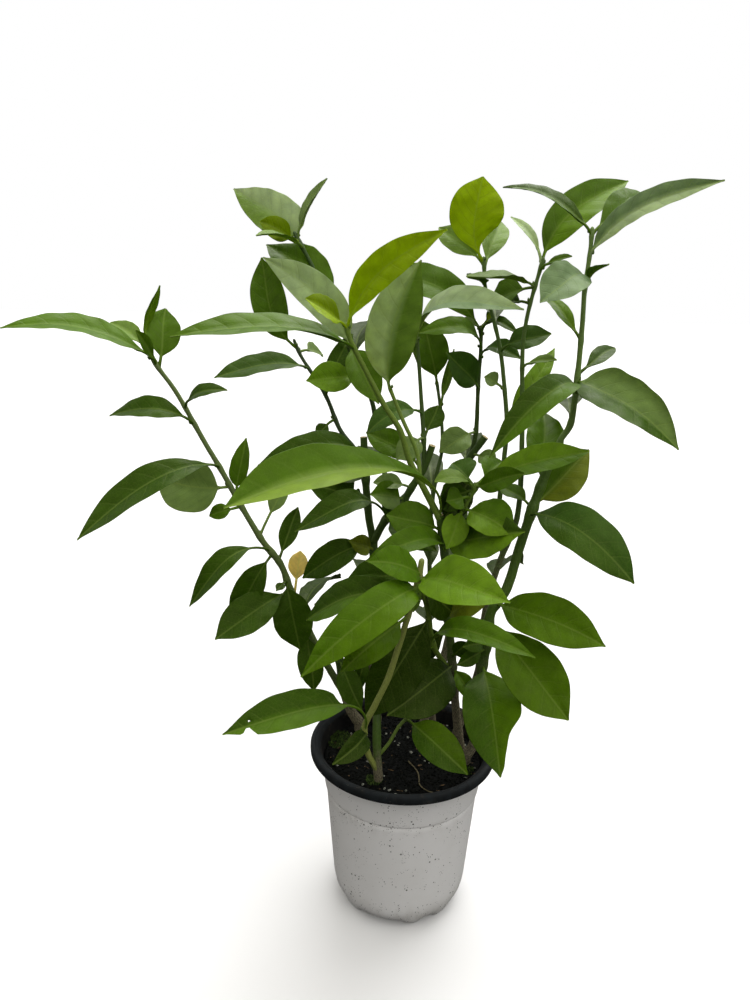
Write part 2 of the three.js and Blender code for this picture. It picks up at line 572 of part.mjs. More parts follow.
// A petiole and blade in one: six points round each station, the upper face's three and the lower's.
function makeLeaf(root, tip, width, lean, arch, changes, phase) {
  const { side, sweep, petiole, crest, belly, fold } = { ...LEAF_HABIT, ...changes };
  const chord = new THREE.Vector3().subVectors(tip, root);
  const length = chord.length();
  const facing = new THREE.Vector3(
    Math.sin(radians(side)),
    -Math.sin(radians(lean)) * Math.cos(radians(side)),
    Math.cos(radians(lean)) * Math.cos(radians(side)),
  );
  const along = chord.clone().normalize();
  const rise = facing.clone().addScaledVector(along, -facing.dot(along)).normalize();
  const sideways = new THREE.Vector3().crossVectors(along, rise);
  const middle = (share) => {
    const bow = length * Math.sin(Math.PI * Math.pow(share, crest));
    return root.clone().addScaledVector(chord, share)
      .addScaledVector(rise, arch * bow)
      .addScaledVector(sideways, sweep * bow);
  };
  const stalk = Math.min(petiole / length, LONGEST_PETIOLE);
  const stations = [[0, PETIOLE_HALF_WIDTH, PETIOLE_THICKNESS, 0]];
  const outline = outlineFor(width);
  outline.forEach(([share, broad], i) => {
    const half = Math.max(broad * width / 2, PETIOLE_HALF_WIDTH * (1 - share));
    const thick = lerp(PETIOLE_THICKNESS * 0.8, LEAF_THICKNESS, Math.min(1, share * 6));
    stations.push([lerp(stalk, 1, Math.pow(share, 1 / belly)), half, thick, i]);
  });
  const rings = stations.map(([share, half, thick, i]) => {
    const centre = middle(share);
    const ahead = middle(share + 0.01).sub(middle(share - Math.min(0.01, share)));
    const tangent = ahead.normalize();
    const normal = rise.clone().addScaledVector(tangent, -rise.dot(tangent)).normalize();
    const across = new THREE.Vector3().crossVectors(normal, tangent);
    const wave = (turn) => (i === 0 ? 0 : EDGE_WAVE * half * Math.sin(phase + i * 2.3 + turn));
    const edge = (sign, turn) => centre.clone()
      .addScaledVector(across, sign * half)
      .addScaledVector(normal, fold * half * (i === 0 ? 0 : 1) + wave(turn));
    const upper = [edge(1, 0), centre, edge(-1, 1.9)];
    const lower = upper.map((p) => p.clone().addScaledVector(normal, -thick)).reverse();
    return [...upper.map((p) => p.clone()), ...lower];
  });
  return toSolid(loft(rings, [3, 4]));
}

function makeCane({ stems, leaves }, random) {
  const curves = {};
  const pieces = [];
  for (const [name, { route, radii }] of Object.entries(stems)) {
    curves[name] = new THREE.CatmullRomCurve3(route.map((p) => new THREE.Vector3(...p)), false, 'centripetal');
    pieces.push(makeStem(curves[name], radii, name === 'trunk'));
  }
  for (const [stem, share, x, y, z, width, lean, arch, changes] of leaves) {
    const root = curves[stem].getPointAt(share);
    const phase = 2 * Math.PI * random();
    pieces.push(makeLeaf(root, new THREE.Vector3(x, y, z), width, lean, arch, changes, phase));
  }
  return pieces.reduce((whole, piece) => whole.add(piece));
}

// ---- Assembly ----

const random = seededRandom(20611);
const plant = new THREE.Group();
let soil = makeSoil();

for (const [name, cane] of Object.entries(CANES)) {
  plant.add(toMesh(name, makeCane(cane, random), FINISHES.leaf));
  const [x, y] = cane.stems.trunk.route[0];
  const holeRadius = (cane.stems.trunk.radii[0] + SEAT_GAP) / Math.cos(Math.PI / HOLE_SIDES);
  const hole = new THREE.CylinderGeometry(holeRadius, holeRadius, 2 * CANE_DEPTH + 2 * SEAT_GAP, HOLE_SIDES);
  hole.rotateX(Math.PI / 2).translate(x, y, SOIL_TOP);
  soil = soil.subtract(toSolid(hole));
}

plant.add(toMesh('pot', makePot(), FINISHES.pot));
plant.add(toMesh('soil', soil, FINISHES.soil));

export default plant;
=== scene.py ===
"""Dresses the potted night-blooming jasmine over its fixed frame.

Eight canes, each with its shoots and leaves, stand in the soil of a white nursery pot with a charcoal rim.
Every cane, the pot and the soil replace their plain nodes with finer pieces of the same form. Routes and
sizes are in millimetres, as the plant is measured; meshes are made in metres.
"""

import math

import bpy
import numpy as np
from mathutils import Matrix


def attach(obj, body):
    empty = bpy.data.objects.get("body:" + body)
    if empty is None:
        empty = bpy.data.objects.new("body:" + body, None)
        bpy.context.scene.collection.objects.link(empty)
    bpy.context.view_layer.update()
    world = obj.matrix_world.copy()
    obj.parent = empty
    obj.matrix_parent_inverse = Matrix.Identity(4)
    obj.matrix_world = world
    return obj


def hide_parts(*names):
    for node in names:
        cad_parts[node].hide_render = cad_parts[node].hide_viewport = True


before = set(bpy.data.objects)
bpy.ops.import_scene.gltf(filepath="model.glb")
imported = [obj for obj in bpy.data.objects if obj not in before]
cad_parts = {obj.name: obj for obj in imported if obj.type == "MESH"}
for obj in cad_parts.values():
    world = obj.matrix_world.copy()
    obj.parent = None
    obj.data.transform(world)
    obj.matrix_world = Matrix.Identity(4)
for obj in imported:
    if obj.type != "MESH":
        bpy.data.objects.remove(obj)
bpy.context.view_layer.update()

MM = 0.001

# Seeds of the even draws: each leaf's wave, the small differences of stems and leaves, and the loose root.
WAVE_SEED = 20611
FORM_SEED = 90217
ROOT_SEED = 517

# ---- Pot and soil sizes ----

POT_HEIGHT = 147
WALL = 1.2
BASE_RADIUS = 45.7
CORNER_TOP = 25
BODY_RADIUS = 58.4
RING_HEIGHT = 108.7
RING_RADIUS = 65.3
RING_STEP = 1.2
COLLAR_RADIUS = 71.5
LIP_RADIUS = 79
LIP_HEIGHT = 7.5
LIP_START = 4
POT_SIDES = 160
SHARP_EDGE = 50

FOOT_PAIRS = 4
FIRST_PAIR_ANGLE = -63
FOOT_SPREAD = 15
FOOT_HALF_WIDTH = 8
SPAN_RAISE = 3.5
SPAN_INNER_RADIUS = 20
SPAN_TOP = 20
DRAIN_CIRCLE = 35
DRAIN_RADIUS = 4.5
DRAIN_BORE = 20
DRAIN_SIDES = 32
# Rings of the base between its feet and its wall, and where the foot's curve is pulled to at its ends.
BASE_RINGS = (25, 38, 42)
FOOT_PULL = (6, 1.5)
CORNER_PULL = (1.5, 15)

# The room that the soil leaves to the wall.
SEAT_GAP = 0.3
SOIL_TOP = 131
SOIL_BUMP = 1.2
CRUMB_BUMP = 0.5
FINE_BUMP = 0.3
SOIL_SIDES = 192
SOIL_RINGS = 54
CANE_DEPTH = 42

# ---- Stem and leaf sizes ----

STEM_SIDES = 14
STEM_STEP = 2.4
BURIED_STEP = 6.0
NODE_SWELL = 0.16
NODE_REACH = 3.5
# A young stem's tip is a dome: shares of its reach, which is counted in radii.
TIP_SHARES = (0.45, 0.8, 1.0)
TIP_REACH = 1.4
# Swells round a stem: share of the radius, run along it for a turn of one radian, and swells in a round.
KNOBS = ((0.05, 5.3, 2), (0.035, 2.1, -3))
FLUTES = (0.03, 70, 5)
BUD_SIZE = 3.4
BUD_GIRTH = 0.34
BUD_SIDES = 7
# Ways that no stem takes, from which the count round a stem or a bud starts.
STEM_SKEW = (0.37, 0.91, 0.18)
BUD_SKEW = (0.3, 0.2, 0.93)

PETIOLE_LENGTH = 9
LONGEST_PETIOLE = 0.45
PETIOLE_STEP = 2.5
PETIOLE_HALF_WIDTH = 1.1
PETIOLE_THICKNESS = 1.9
# How much wider a petiole is at its stem, how far that goes, and how much it narrows to the leaf's tip.
PETIOLE_FLARE = 0.5
FLARE_REACH = 2.2
MIDRIB_TAPER = 0.45
LEAF_THICKNESS = 0.34
LEAF_STEP = 1.9
# The least and most rows along a blade.
LEAF_ROWS = (16, 74)
LEAF_ACROSS = 15
FOLD = 0.22
CREST = 0.8
ROLL_START = 0.5
EDGE_WAVE = 0.09
EDGE_RIPPLE = 0.032
VEIN_PAIRS = 7
LEAST_VEIN_GAP = 5.0
VEIN_SLANT = 0.62
VEIN_CURL = 0.35
# How far the count of side veins has gone at the blade's base, on each half.
VEIN_STARTS = (0.18, 0.62)
VEIN_RELIEF = 0.3
VEIN_SPREAD = 0.13
VEIN_THICKENING = 0.12
MIDRIB_GROOVE = 0.5
MIDRIB_SPREAD = 1.1
# The raised rib's half width at the blade's base, and its least.
RIB_HALF_WIDTHS = (0.9, 0.3)
# The height of the puffs between the veins, and their runs along the blade, across it and over it.
PUFF = 0.35
PUFF_RUNS = (3.7, 3.1, 9)
SMALL_WIDTH = 21
# How far leaves differ: shares of the length and width, and degrees of twist.
SWING = 0.014
UNEVEN_HALVES = 0.03
EXTRA_TWIST = 7
TONE_SPREAD = 0.1
# The maps count in centimetres, and each leaf's map starts elsewhere.
MAP_SCALE = 0.1
MAP_SHIFT = 7.0

# Share of the blade's length, and the half width there as a share of the widest.
BLADE_OUTLINE = [
    (0, 0.09), (0.05, 0.27), (0.13, 0.58), (0.23, 0.83), (0.34, 0.96), (0.46, 1), (0.58, 0.97),
    (0.7, 0.84), (0.8, 0.64), (0.88, 0.4), (0.94, 0.2), (0.98, 0.07), (1, 0.02),
]
SMALL_BLADE_OUTLINE = [
    (0, 0.12), (0.08, 0.4), (0.22, 0.8), (0.4, 0.99), (0.6, 0.95), (0.78, 0.7), (0.9, 0.37), (0.97, 0.13),
    (1, 0.05),
]
# The shares of the blade at which the edges' slow wave is counted, by the width that the blade is under.
WAVE_STOPS = {18: [0, 0.42, 1], 33: [0, 0.22, 0.6, 1], 60: [0, 0.18, 0.42, 0.74, 1]}
# The wave's turn from one stop to the next, and how far one half lags behind the other, in radians.
WAVE_TURN = 2.3
HALF_LAG = 1.9

# ---- Strewn grains ----

# How close the dents of a chip lie, and the seed of the grains' turns.
CHIP_ROUGHNESS = 1.4
SPIN_SEED = 7

# ---- Colours, as screen values ----

# Each leaf's own green, with light and shade painted into many tones. pale, grey, silver and sage paint the
# pale sheen of the sky on glossy leaves, and blue paints a bluish sheen. sunny paints light shining through a
# leaf from behind. deep is partly a darker green and partly painted shade on leaves at the back and low
# inside the plant. dead is a dead leaf's own colour.
LEAF_TONES = {
    "deep": (36, 60, 0),
    "dark": (54, 86, 4),
    "mid": (80, 116, 10),
    "bright": (106, 143, 22),
    "sunny": (122, 148, 6),
    "pale": (112, 143, 54),
    "grey": (114, 140, 74),
    "silver_sheen": (170, 192, 146),
    "sage_sheen": (122, 148, 104),
    "moss": (80, 114, 0),
    "lime": (158, 186, 6),
    "light": (136, 164, 62),
    "blue": (64, 98, 30),
    "olive": (112, 126, 26),
    "dead": (206, 190, 112),
}
STEM_GREEN = (78, 104, 40)
BUD_GREEN = (96, 122, 52)
ROOT_TONE = (168, 150, 112)
PAINTS = {
    "leaf_back": (116, 142, 70),
    "rib": (160, 182, 92),
    "speck": (120, 104, 60),
    "dark_wood": (74, 68, 52),
    "pale_wood": (140, 132, 106),
    "mossy_wood": (92, 100, 62),
    "bark_pore": (176, 166, 138),
    "dark_cut": (168, 150, 104),
    "pale_cut": (206, 190, 144),
    "pith": (110, 88, 54),
    "cut_edge": (88, 84, 52),
    "white": (246, 245, 244),
    "dull_white": (240, 239, 237),
    "wall_dust": (132, 124, 106),
    "wall_grit": (26, 23, 18),
    "rim_dust": (112, 104, 88),
    "rim_grit": (150, 142, 124),
    "peat_fibre": (50, 42, 26),
}
# The dark and the pale colour of each finish that is mixed from two.
BLENDS = {
    "charcoal_rim": ((12, 16, 18), (26, 32, 35)),
    "black_inside": ((16, 16, 16), (34, 32, 30)),
    "peat": ((1, 3, 2), (7, 9, 5)),
    "crumb_peat": ((2, 4, 2), (12, 13, 7)),
    "perlite": ((104, 108, 96), (170, 170, 158)),
    "bark_chip": ((58, 44, 30), (122, 98, 66)),
    "moss_green": ((42, 66, 22), (92, 116, 44)),
    "root_tan": ((74, 68, 46), (112, 102, 74)),
}


def linear(red, green, blue):
    """A screen colour from 0 to 255, as a shader reads it."""
    parts = (value / 255 for value in (red, green, blue))
    return tuple(((p + 0.055) / 1.055) ** 2.4 if p > 0.04045 else p / 12.92 for p in parts)


def paint(name):
    return linear(*PAINTS[name])


# ---- Canes ----
# A stem is its route and its radii at base and tip. A leaf sits on a stem at a share of its length, and
# has its tip, width, lean (0 faces up, 90 faces the front), arch and tone; side turns it to the right and
# sweep bows it along its own face.


def leaf(stem, share, tip, width, lean, arch, tone, side=0, sweep=0, petiole=PETIOLE_LENGTH, twist=0,
         crest=CREST, belly=1, fold=FOLD, near=None, roll=None, bites=(), holes=()):
    """One leaf's place and form. crest places the arch's top and belly moves the widest part out to the
    tip. near is the tone of the half nearer the front, which paints the light and shade of that half, and
    roll is ("near" or "far", turn) of an edge.
    Bites are (side, share, depth, reach) of the edge; holes are (share, across, radius in mm)."""
    return {
        "stem": stem, "share": share, "tip": tip, "width": width, "lean": lean, "arch": arch, "tone": tone,
        "side": side, "sweep": sweep, "petiole": petiole, "twist": twist, "crest": crest, "belly": belly,
        "fold": fold, "near": near or tone, "roll": roll, "bites": bites, "holes": holes,
    }


CANES = {
    "cane_left": {
        "stems": {
            "trunk": ([(-38, 41, 137), (-45, 43, 146), (-53, 46, 168), (-57, 48, 192),
                (-60, 50, 235)], (5, 2.6)),
            "shoot": ([(-54, 47, 165), (-74, 37, 208), (-91, 29, 250), (-100, 25, 276), (-106, 21, 296),
                (-120, 14, 319), (-135, 9, 348), (-150, 4, 380), (-161, 0, 402), (-181, -6, 443),
                (-194, -10, 464), (-199, -12, 479)], (3.4, 1.5)),
        },
        "leaves": [
            leaf("shoot", 0.96, (-282, -60, 489), 25, 32, 0.14, "mid"),
            leaf("shoot", 0.99, (-187, -10, 519), 9, 60, -0.12, "bright", side=65),
            leaf("shoot", 0.94, (-190, 12, 503), 26, 60, 0.08, "mid", side=20),
            leaf("shoot", 0.98, (-234, 15, 492), 15, 30, 0.08, "pale"),
            leaf("shoot", 0.95, (-197, -40, 488), 11, 70, 0.05, "mid", side=50),
            leaf("shoot", 0.8, (-230, -12, 424), 21, 40, 0.22, "dark"),
            leaf("shoot", 0.84, (-139, -20, 446), 14, 40, 0.2, "dark"),
            leaf("shoot", 0.69, (-238, -70, 344), 27, 42, 0.19, "dark", belly=1.2),
            leaf("shoot", 0.64, (-206, 18, 373), 42, 66, 0.06, "grey", sweep=-0.1, belly=0.75),
            leaf("shoot", 0.61, (-132, 16, 404), 17, 70, 0.05, "mid", side=-15, belly=0.8),
            leaf("shoot", 0.5, (-103, 36, 363), 15, 60, 0.05, "grey", petiole=22),
            leaf("shoot", 0.42, (-94, 45, 340), 16, 80, 0.05, "dark"),
            leaf("shoot", 0.455, (-174, -20, 274), 20, 38, 0.34, "dark", petiole=16),
            leaf("shoot", 0.445, (-146, 6, 249), 25, 60, 0.08, "dark"),
            leaf("shoot", 0.33, (-152, -30, 251), 31, 55, 0.12, "dark", petiole=14, belly=1.2),
            leaf("shoot", 0.37, (-89, 8, 225), 33, 80, 0.08, "dark"),
            leaf("shoot", 0.22, (-78, 14, 183), 22, 80, 0.05, "dark"),
            leaf("shoot", 0.36, (-108, 6, 279), 8, 50, 0.1, "dark"),
            leaf("shoot", 0.31, (-93, 53, 298), 17, 85, 0.05, "dead", petiole=17),
            leaf("trunk", 0.62, (-36, 12, 167), 22, 75, 0.1, "dark"),
            leaf("shoot", 0.25, (-60, 112, 252), 27, -40, 0.15, "deep"),
            leaf("shoot", 0.585, (-161, 4, 342), 13, 60, 0.1, "mid"),
        ],
    },
    "cane_back": {
        "stems": {
            "trunk": ([(-22, 50, 137), (-28, 54, 163), (-33, 55, 203), (-31, 54, 253), (-29, 50, 306),
                (-33, 50, 328), (-36, 50, 355), (-39, 50, 401)], (4.2, 3)),
            "left_shoot": ([(-37, 50, 371), (-46, 54, 389), (-59, 58, 405), (-72, 62, 434), (-94, 68, 467),
                (-99, 70, 478)], (2.2, 1.3)),
            "fork": ([(-30, 50, 306), (-19, 42, 331), (-7, 36, 346), (2, 30, 363), (12, 25, 383),
                (17, 22, 400)], (3.4, 2.8)),
            "tall_shoot": ([(-16, 41, 335), (-21, 55, 372), (-28, 60, 408), (-33, 58, 431), (-41, 56, 450),
                (-51, 54, 472), (-58, 52, 488), (-68, 48, 512), (-91, 42, 554),
                (-95, 42, 561)], (2.4, 1.4)),
            "middle_shoot": ([(11, 25, 382), (10, 26, 404), (7, 28, 436), (3, 28, 475),
                (2, 28, 483)], (2, 1.3)),
        },
        "leaves": [
            leaf("trunk", 0.65, (-89, 30, 281), 27, 55, 0.25, "dark", petiole=14),
            leaf("trunk", 0.45, (-46, 138, 262), 29, -45, 0.15, "deep"),
            leaf("trunk", 0.86, (-22, 140, 372), 27, -40, 0.15, "deep"),
            leaf("trunk", 0.62, (-49, 26, 317), 18, 60, 0.1, "olive"),
            leaf("trunk", 0.94, (-124, 20, 381), 27, 40, 0.2, "dark"),
            leaf("trunk", 0.78, (-85, 20, 368), 31, 60, 0.1, "dark",
                bites=((-1, 0.2, 0.5, 0.05), (-1, 0.38, 0.35, 0.05), (-1, 0.52, 0.2, 0.04))),
            leaf("fork", 0.28, (-92, 0, 332), 26, 32, 0.3, "dark", petiole=20),
            leaf("fork", 0.25, (22, 0, 318), 26, 50, 0.12, "dark"),
            leaf("fork", 0.5, (-32, 8, 362), 25, 62, 0.12, "mid", near="grey"),
            leaf("fork", 0.78, (-37, 40, 407), 24, 50, 0.2, "mid"),
            leaf("left_shoot", 0.79, (-161, 40, 449), 26, 38, 0.12, "blue"),
            leaf("left_shoot", 0.41, (-79, 50, 401), 12, 50, 0.1, "dark"),
            leaf("left_shoot", 0.95, (-127, 80, 545), 29, 80, 0.08, "mid", side=10, sweep=-0.12),
            leaf("left_shoot", 0.92, (-77, 92, 467), 18, 50, 0.1, "grey"),
            leaf("tall_shoot", 0.96, (-149, 80, 598), 35, 70, 0.05, "silver_sheen", sweep=0.05, belly=0.58,
                near="pale"),
            leaf("tall_shoot", 0.97, (-120, 28, 568), 18, 80, 0.1, "sunny"),
            leaf("tall_shoot", 0.98, (-71, 50, 603), 14, 60, 0.08, "grey", side=-55),
            leaf("tall_shoot", 0.95, (-118, -2, 556), 12, 25, 0.1, "pale"),
            leaf("tall_shoot", 0.73, (-120, 60, 554), 35, 45, 0.2, "mid", belly=0.9),
            leaf("tall_shoot", 0.6, (-115, 8, 541), 29, 72, 0.12, "silver_sheen", sweep=0.08),
            leaf("tall_shoot", 0.5, (-85, 30, 449), 26, 65, 0.03, "bright"),
            leaf("tall_shoot", 0.62, (-27, 20, 433), 26, 68, 0.06, "mid"),
            leaf("middle_shoot", 0.42, (-36, 8, 411), 23, 40, 0.28, "blue"),
            leaf("tall_shoot", 0.55, (-34, 132, 496), 27, -35, 0.12, "deep"),
            leaf("middle_shoot", 0.21, (22, 42, 430), 18, 60, 0.05, "dark"),
            leaf("middle_shoot", 0.23, (-12, 2, 392), 20, 60, 0.15, "grey"),
            leaf("middle_shoot", 0.82, (-8, 52, 500), 18, 65, 0.1, "dark", side=-30),
            leaf("middle_shoot", 0.98, (71, -42, 508), 26, 45, 0.25, "silver_sheen", near="sage_sheen"),
            leaf("fork", 0.5, (-19, 12, 341), 24, 70, 0.1, "dark"),
            leaf("fork", 0.62, (-30, 24, 368), 17, 40, 0.12, "grey"),
            leaf("trunk", 0.87, (-60, 20, 369), 17, 40, 0.1, "deep"),
            leaf("left_shoot", 0.58, (-50, 66, 485), 17, 60, 0.2, "dark"),
            leaf("trunk", 0.2, (-47, 40, 194), 7, 60, 0.1, "dark"),
            leaf("trunk", 0.26, (-41, 34, 170), 13, 70, 0.05, "dark"),
        ],
    },
    "cane_front": {
        "stems": {
            "trunk": ([(-21, -38, 137), (-22, -39, 150), (-23, -38, 187), (-22, -26, 212)], (3.7, 3.1)),
            "shoot": ([(-22, -39, 143), (-30, -45, 163), (-33, -50, 187), (-25, -54, 210), (-16, -58, 234),
                (-9, -60, 260), (-4, -62, 281), (4, -64, 316), (6, -65, 331)], (2.5, 2.2)),
            "low_shoot": ([(-22, -39, 155), (-13, -37, 166), (-5, -34, 180), (2, -32, 187)], (1.5, 1.3)),
        },
        "leaves": [
            leaf("shoot", 0.95, (-32, -100, 343), 26, 50, 0.12, "mid", petiole=4),
            leaf("shoot", 0.87, (-74, -132, 274), 29, 52, 0.29, "mid", petiole=5, crest=0.66,
                belly=0.95, near="moss"),
            leaf("shoot", 0.78, (-50, -92, 257), 24, 60, 0.3, "moss", crest=1.6),
            leaf("shoot", 0.84, (-79, -46, 276), 28, 40, 0.28, "dark", petiole=5, near="mid"),
            leaf("shoot", 0.23, (-131, -110, 217), 29, 32, 0.3, "dark", petiole=36, crest=0.7, fold=0.36,
                near="mid", bites=((-1, 0.05, 0.7, 0.05), (1, 0.82, 0.8, 0.035)), holes=((0.8, -0.3, 0.8),)),
            leaf("shoot", 0.21, (-55, -92, 183), 17, 60, 0.25, "deep", side=10),
            leaf("shoot", 0.92, (58, -132, 329), 36, 48, 0.12, "bright"),
            leaf("low_shoot", 0.96, (47, -72, 163), 28, 55, 0.15, "moss", near="dark"),
            leaf("shoot", 0.93, (1, -69, 294), 8, 80, 0.1, "pale", petiole=4),
            leaf("shoot", 0.88, (-74, -32, 283), 23, 50, 0.2, "dark", petiole=4),
        ],
    },
    "cane_middle": {
        "stems": {
            "trunk": ([(51, 4, 137), (47, 4, 160), (41, 4, 205), (37, 2, 240), (31, 0, 276), (29, -2, 311),
                (23, -6, 350)], (3.8, 3)),
            "front_shoot": ([(40, 4, 209), (28, -4, 227), (21, -12, 243), (16, -22, 272), (10, -31, 297),
                (8, -36, 309)], (2.6, 1.8)),
            "tall_shoot": ([(24, -5, 345), (10, -12, 371), (-3, -20, 396), (-11, -28, 420), (-23, -36, 439),
                (-37, -46, 465), (-48, -54, 487), (-50, -56, 495)], (2.8, 1.5)),
            "side_shoot": ([(6, -15, 378), (3, -13, 400), (-9, -14, 426), (-19, -16, 449)], (1.8, 1.3)),
            "right_shoot": ([(29, -2, 318), (33, -5, 336), (41, -8, 356), (51, -10, 377)], (2.1, 1.3)),
        },
        "leaves": [
            leaf("trunk", 0.845, (-34, -62, 330), 21, 40, 0.23, "mid", fold=0.45),
            leaf("trunk", 0.88, (81, -50, 351), 38, 52, 0.02, "dark", petiole=5, near="bright"),
            leaf("right_shoot", 0.6, (27, -30, 330), 21, 66, 0.1, "bright", petiole=4),
            leaf("trunk", 0.58, (63, -32, 291), 24, 50, 0.15, "olive"),
            leaf("trunk", 0.41, (50, -15, 246), 14, 60, 0.1, "dark"),
            leaf("trunk", 0.37, (-15, -50, 199), 42, 62, 0.15, "deep"),
            leaf("front_shoot", 0.99, (-50, -26, 300), 27, 50, 0.15, "dark"),
            leaf("front_shoot", 0.38, (91, -72, 262), 23, 40, 0.27, "mid", petiole=14, roll=("near", 0.35)),
            leaf("front_shoot", 0.35, (-22, -38, 201), 27, 58, 0.18, "dark", petiole=10, near="mid",
                roll=("near", 0.3)),
            leaf("front_shoot", 0.62, (-32, -46, 194), 40, 74, 0.03, "deep", petiole=6),
            leaf("tall_shoot", 0.9, (-154, -112, 488), 27, 28, 0.1, "mid"),
            leaf("tall_shoot", 0.99, (-75, -80, 512), 20, 50, 0.05, "sunny", near="lime"),
            leaf("tall_shoot", 0.98, (10, -112, 552), 22, 75, 0.05, "lime", side=-10, sweep=-0.1),
            leaf("tall_shoot", 0.02, (-119, -140, 389), 38, 32, 0.21, "mid", petiole=30, twist=-8,
                crest=0.72, belly=1.8, fold=0.4, near="light"),
            leaf("side_shoot", 0.98, (-1, -52, 538), 36, 78, 0.06, "silver_sheen", sweep=-0.09, near="pale"),
            leaf("right_shoot", 0.62, (74, -42, 346), 33, 50, 0.14, "mid", near="bright"),
            leaf("right_shoot", 0.98, (131, -22, 406), 25, 42, 0.1, "bright", petiole=12, near="mid"),
            leaf("right_shoot", 0.94, (79, -44, 393), 18, 62, 0.05, "mid", petiole=6),
            leaf("right_shoot", 0.93, (32, 8, 389), 27, 55, 0.12, "blue"),
            leaf("right_shoot", 0.88, (16, -28, 382), 19, 22, 0.22, "pale"),
            leaf("right_shoot", 0.8, (26, -24, 366), 19, 60, 0.05, "mid"),
            leaf("right_shoot", 0.7, (28, -10, 355), 15, 50, 0.1, "deep"),
            leaf("right_shoot", 0.97, (74, 18, 389), 25, 55, 0.12, "mid"),
            leaf("trunk", 0.36, (59, -26, 198), 15, 68, 0.05, "mid", petiole=5),
            leaf("trunk", 0.27, (32, -6, 189), 7, 60, 0.2, "mid", petiole=3),
            leaf("trunk", 0.93, (-19, -12, 351), 32, 52, 0.12, "mid"),
            leaf("trunk", 0.52, (-6, 18, 218), 31, 70, 0.08, "deep", petiole=6),
            leaf("right_shoot", 0.9, (22, 2, 358), 24, 62, 0.1, "dark", petiole=5),
            leaf("trunk", 0.97, (47, 6, 376), 24, 75, 0.08, "deep", petiole=4),
            leaf("front_shoot", 0.9, (35, -14, 272), 28, 60, 0.1, "deep", petiole=4),
            leaf("front_shoot", 0.8, (-20, -22, 283), 24, 60, 0.1, "deep", petiole=4),
        ],
    },
    "cane_thin": {
        "stems": {
            "trunk": ([(30, 47, 137), (27, 51, 160), (24, 55, 194), (23, 60, 251), (21, 62, 326),
                (25, 66, 366), (29, 70, 387), (28, 74, 413), (23, 78, 445)], (2.8, 1.3)),
        },
        "leaves": [
            leaf("trunk", 0.99, (11, 92, 496), 31, 78, 0.05, "mid"),
            leaf("trunk", 0.28, (22, 134, 214), 25, -50, 0.1, "deep"),
            leaf("trunk", 0.44, (2, 146, 300), 27, -45, 0.15, "deep"),
            leaf("trunk", 0.66, (16, 152, 372), 25, -40, 0.15, "deep"),
            leaf("trunk", 0.93, (36, 74, 474), 8, 60, 0.05, "pale"),
        ],
    },
    "cane_pruned": {
        "stems": {
            "trunk": ([(16, 24, 137), (26, 34, 165), (40, 48, 217), (49, 66, 288), (52, 76, 341),
                (52, 80, 372), (67, 76, 399)], (3.7, 3.2)),
            "shoot": ([(55, 79, 380), (59, 80, 400), (59, 80, 439), (59, 78, 482),
                (58, 78, 492)], (2.2, 1.3)),
        },
        "leaves": [
            leaf("trunk", 0.5, (76, 154, 288), 30, -45, 0.15, "deep"),
            leaf("trunk", 0.88, (68, 166, 386), 26, -40, 0.12, "deep"),
            leaf("shoot", 0.2, (26, 58, 388), 26, 50, 0.1, "grey"),
            leaf("shoot", 0.97, (-24, 122, 540), 34, 60, 0.22, "mid"),
            leaf("shoot", 0.84, (4, 58, 487), 21, 42, 0.3, "mid"),
            leaf("shoot", 0.99, (75, 92, 508), 10, 50, 0.1, "dark"),
            leaf("shoot", 0.93, (87, 56, 488), 12, 32, 0.4, "dark"),
            leaf("shoot", 0.76, (88, 48, 469), 19, 38, 0.28, "blue"),
            leaf("shoot", 0.54, (28, 50, 472), 27, 70, 0.08, "blue"),
            leaf("trunk", 0.93, (75, 60, 379), 17, 60, 0.1, "grey"),
            leaf("shoot", 0.98, (41, 66, 499), 8, 50, 0.1, "grey"),
            leaf("shoot", 0.99, (72, 84, 503), 10, 50, 0.1, "sunny"),
        ],
    },
    "cane_slender": {
        "stems": {
            "trunk": ([(49, 27, 137), (58, 29, 165), (67, 28, 209), (69, 30, 255), (79, 30, 301),
                (90, 28, 337), (89, 25, 414), (85, 22, 462), (84, 20, 485), (86, 18, 507),
                (93, 12, 544)], (3.4, 1.3)),
            "upper_shoot": ([(81, 30, 306), (78, 44, 340), (80, 46, 412), (76, 44, 443), (70, 42, 476),
                (63, 40, 499), (55, 38, 522), (52, 36, 545)], (2.4, 1.3)),
        },
        "leaves": [
            leaf("trunk", 0.35, (116, 112, 270), 28, -45, 0.15, "deep"),
            leaf("trunk", 0.8, (105, -4, 472), 12, 40, 0.1, "pale"),
            leaf("trunk", 0.99, (163, 52, 606), 29, 65, 0.09, "mid", sweep=-0.1, belly=0.88, near="bright"),
            leaf("trunk", 0.99, (72, 42, 577), 8, 35, 0.16, "silver_sheen"),
            leaf("trunk", 0.98, (110, -4, 546), 9, 40, 0.1, "mid"),
            leaf("trunk", 0.95, (33, -22, 530), 20, 14, 0.06, "grey"),
            leaf("trunk", 0.92, (68, 34, 512), 14, 50, 0.1, "dark"),
            leaf("upper_shoot", 0.43, (123, 82, 476), 17, 50, 0.1, "bright"),
            leaf("upper_shoot", 0.99, (47, 28, 603), 41, 82, 0.03, "lime", sweep=-0.12, belly=1.3),
            leaf("upper_shoot", 0.98, (18, 62, 570), 22, 70, 0.1, "pale"),
            leaf("upper_shoot", 0.97, (70, 82, 578), 20, 75, 0.08, "pale"),
            leaf("upper_shoot", 0.9, (36, -4, 530), 14, 30, 0.1, "dark"),
            leaf("upper_shoot", 0.78, (66, 128, 516), 23, -30, 0.1, "deep"),
            leaf("trunk", 0.95, (60, 42, 511), 26, 55, 0.1, "mid"),
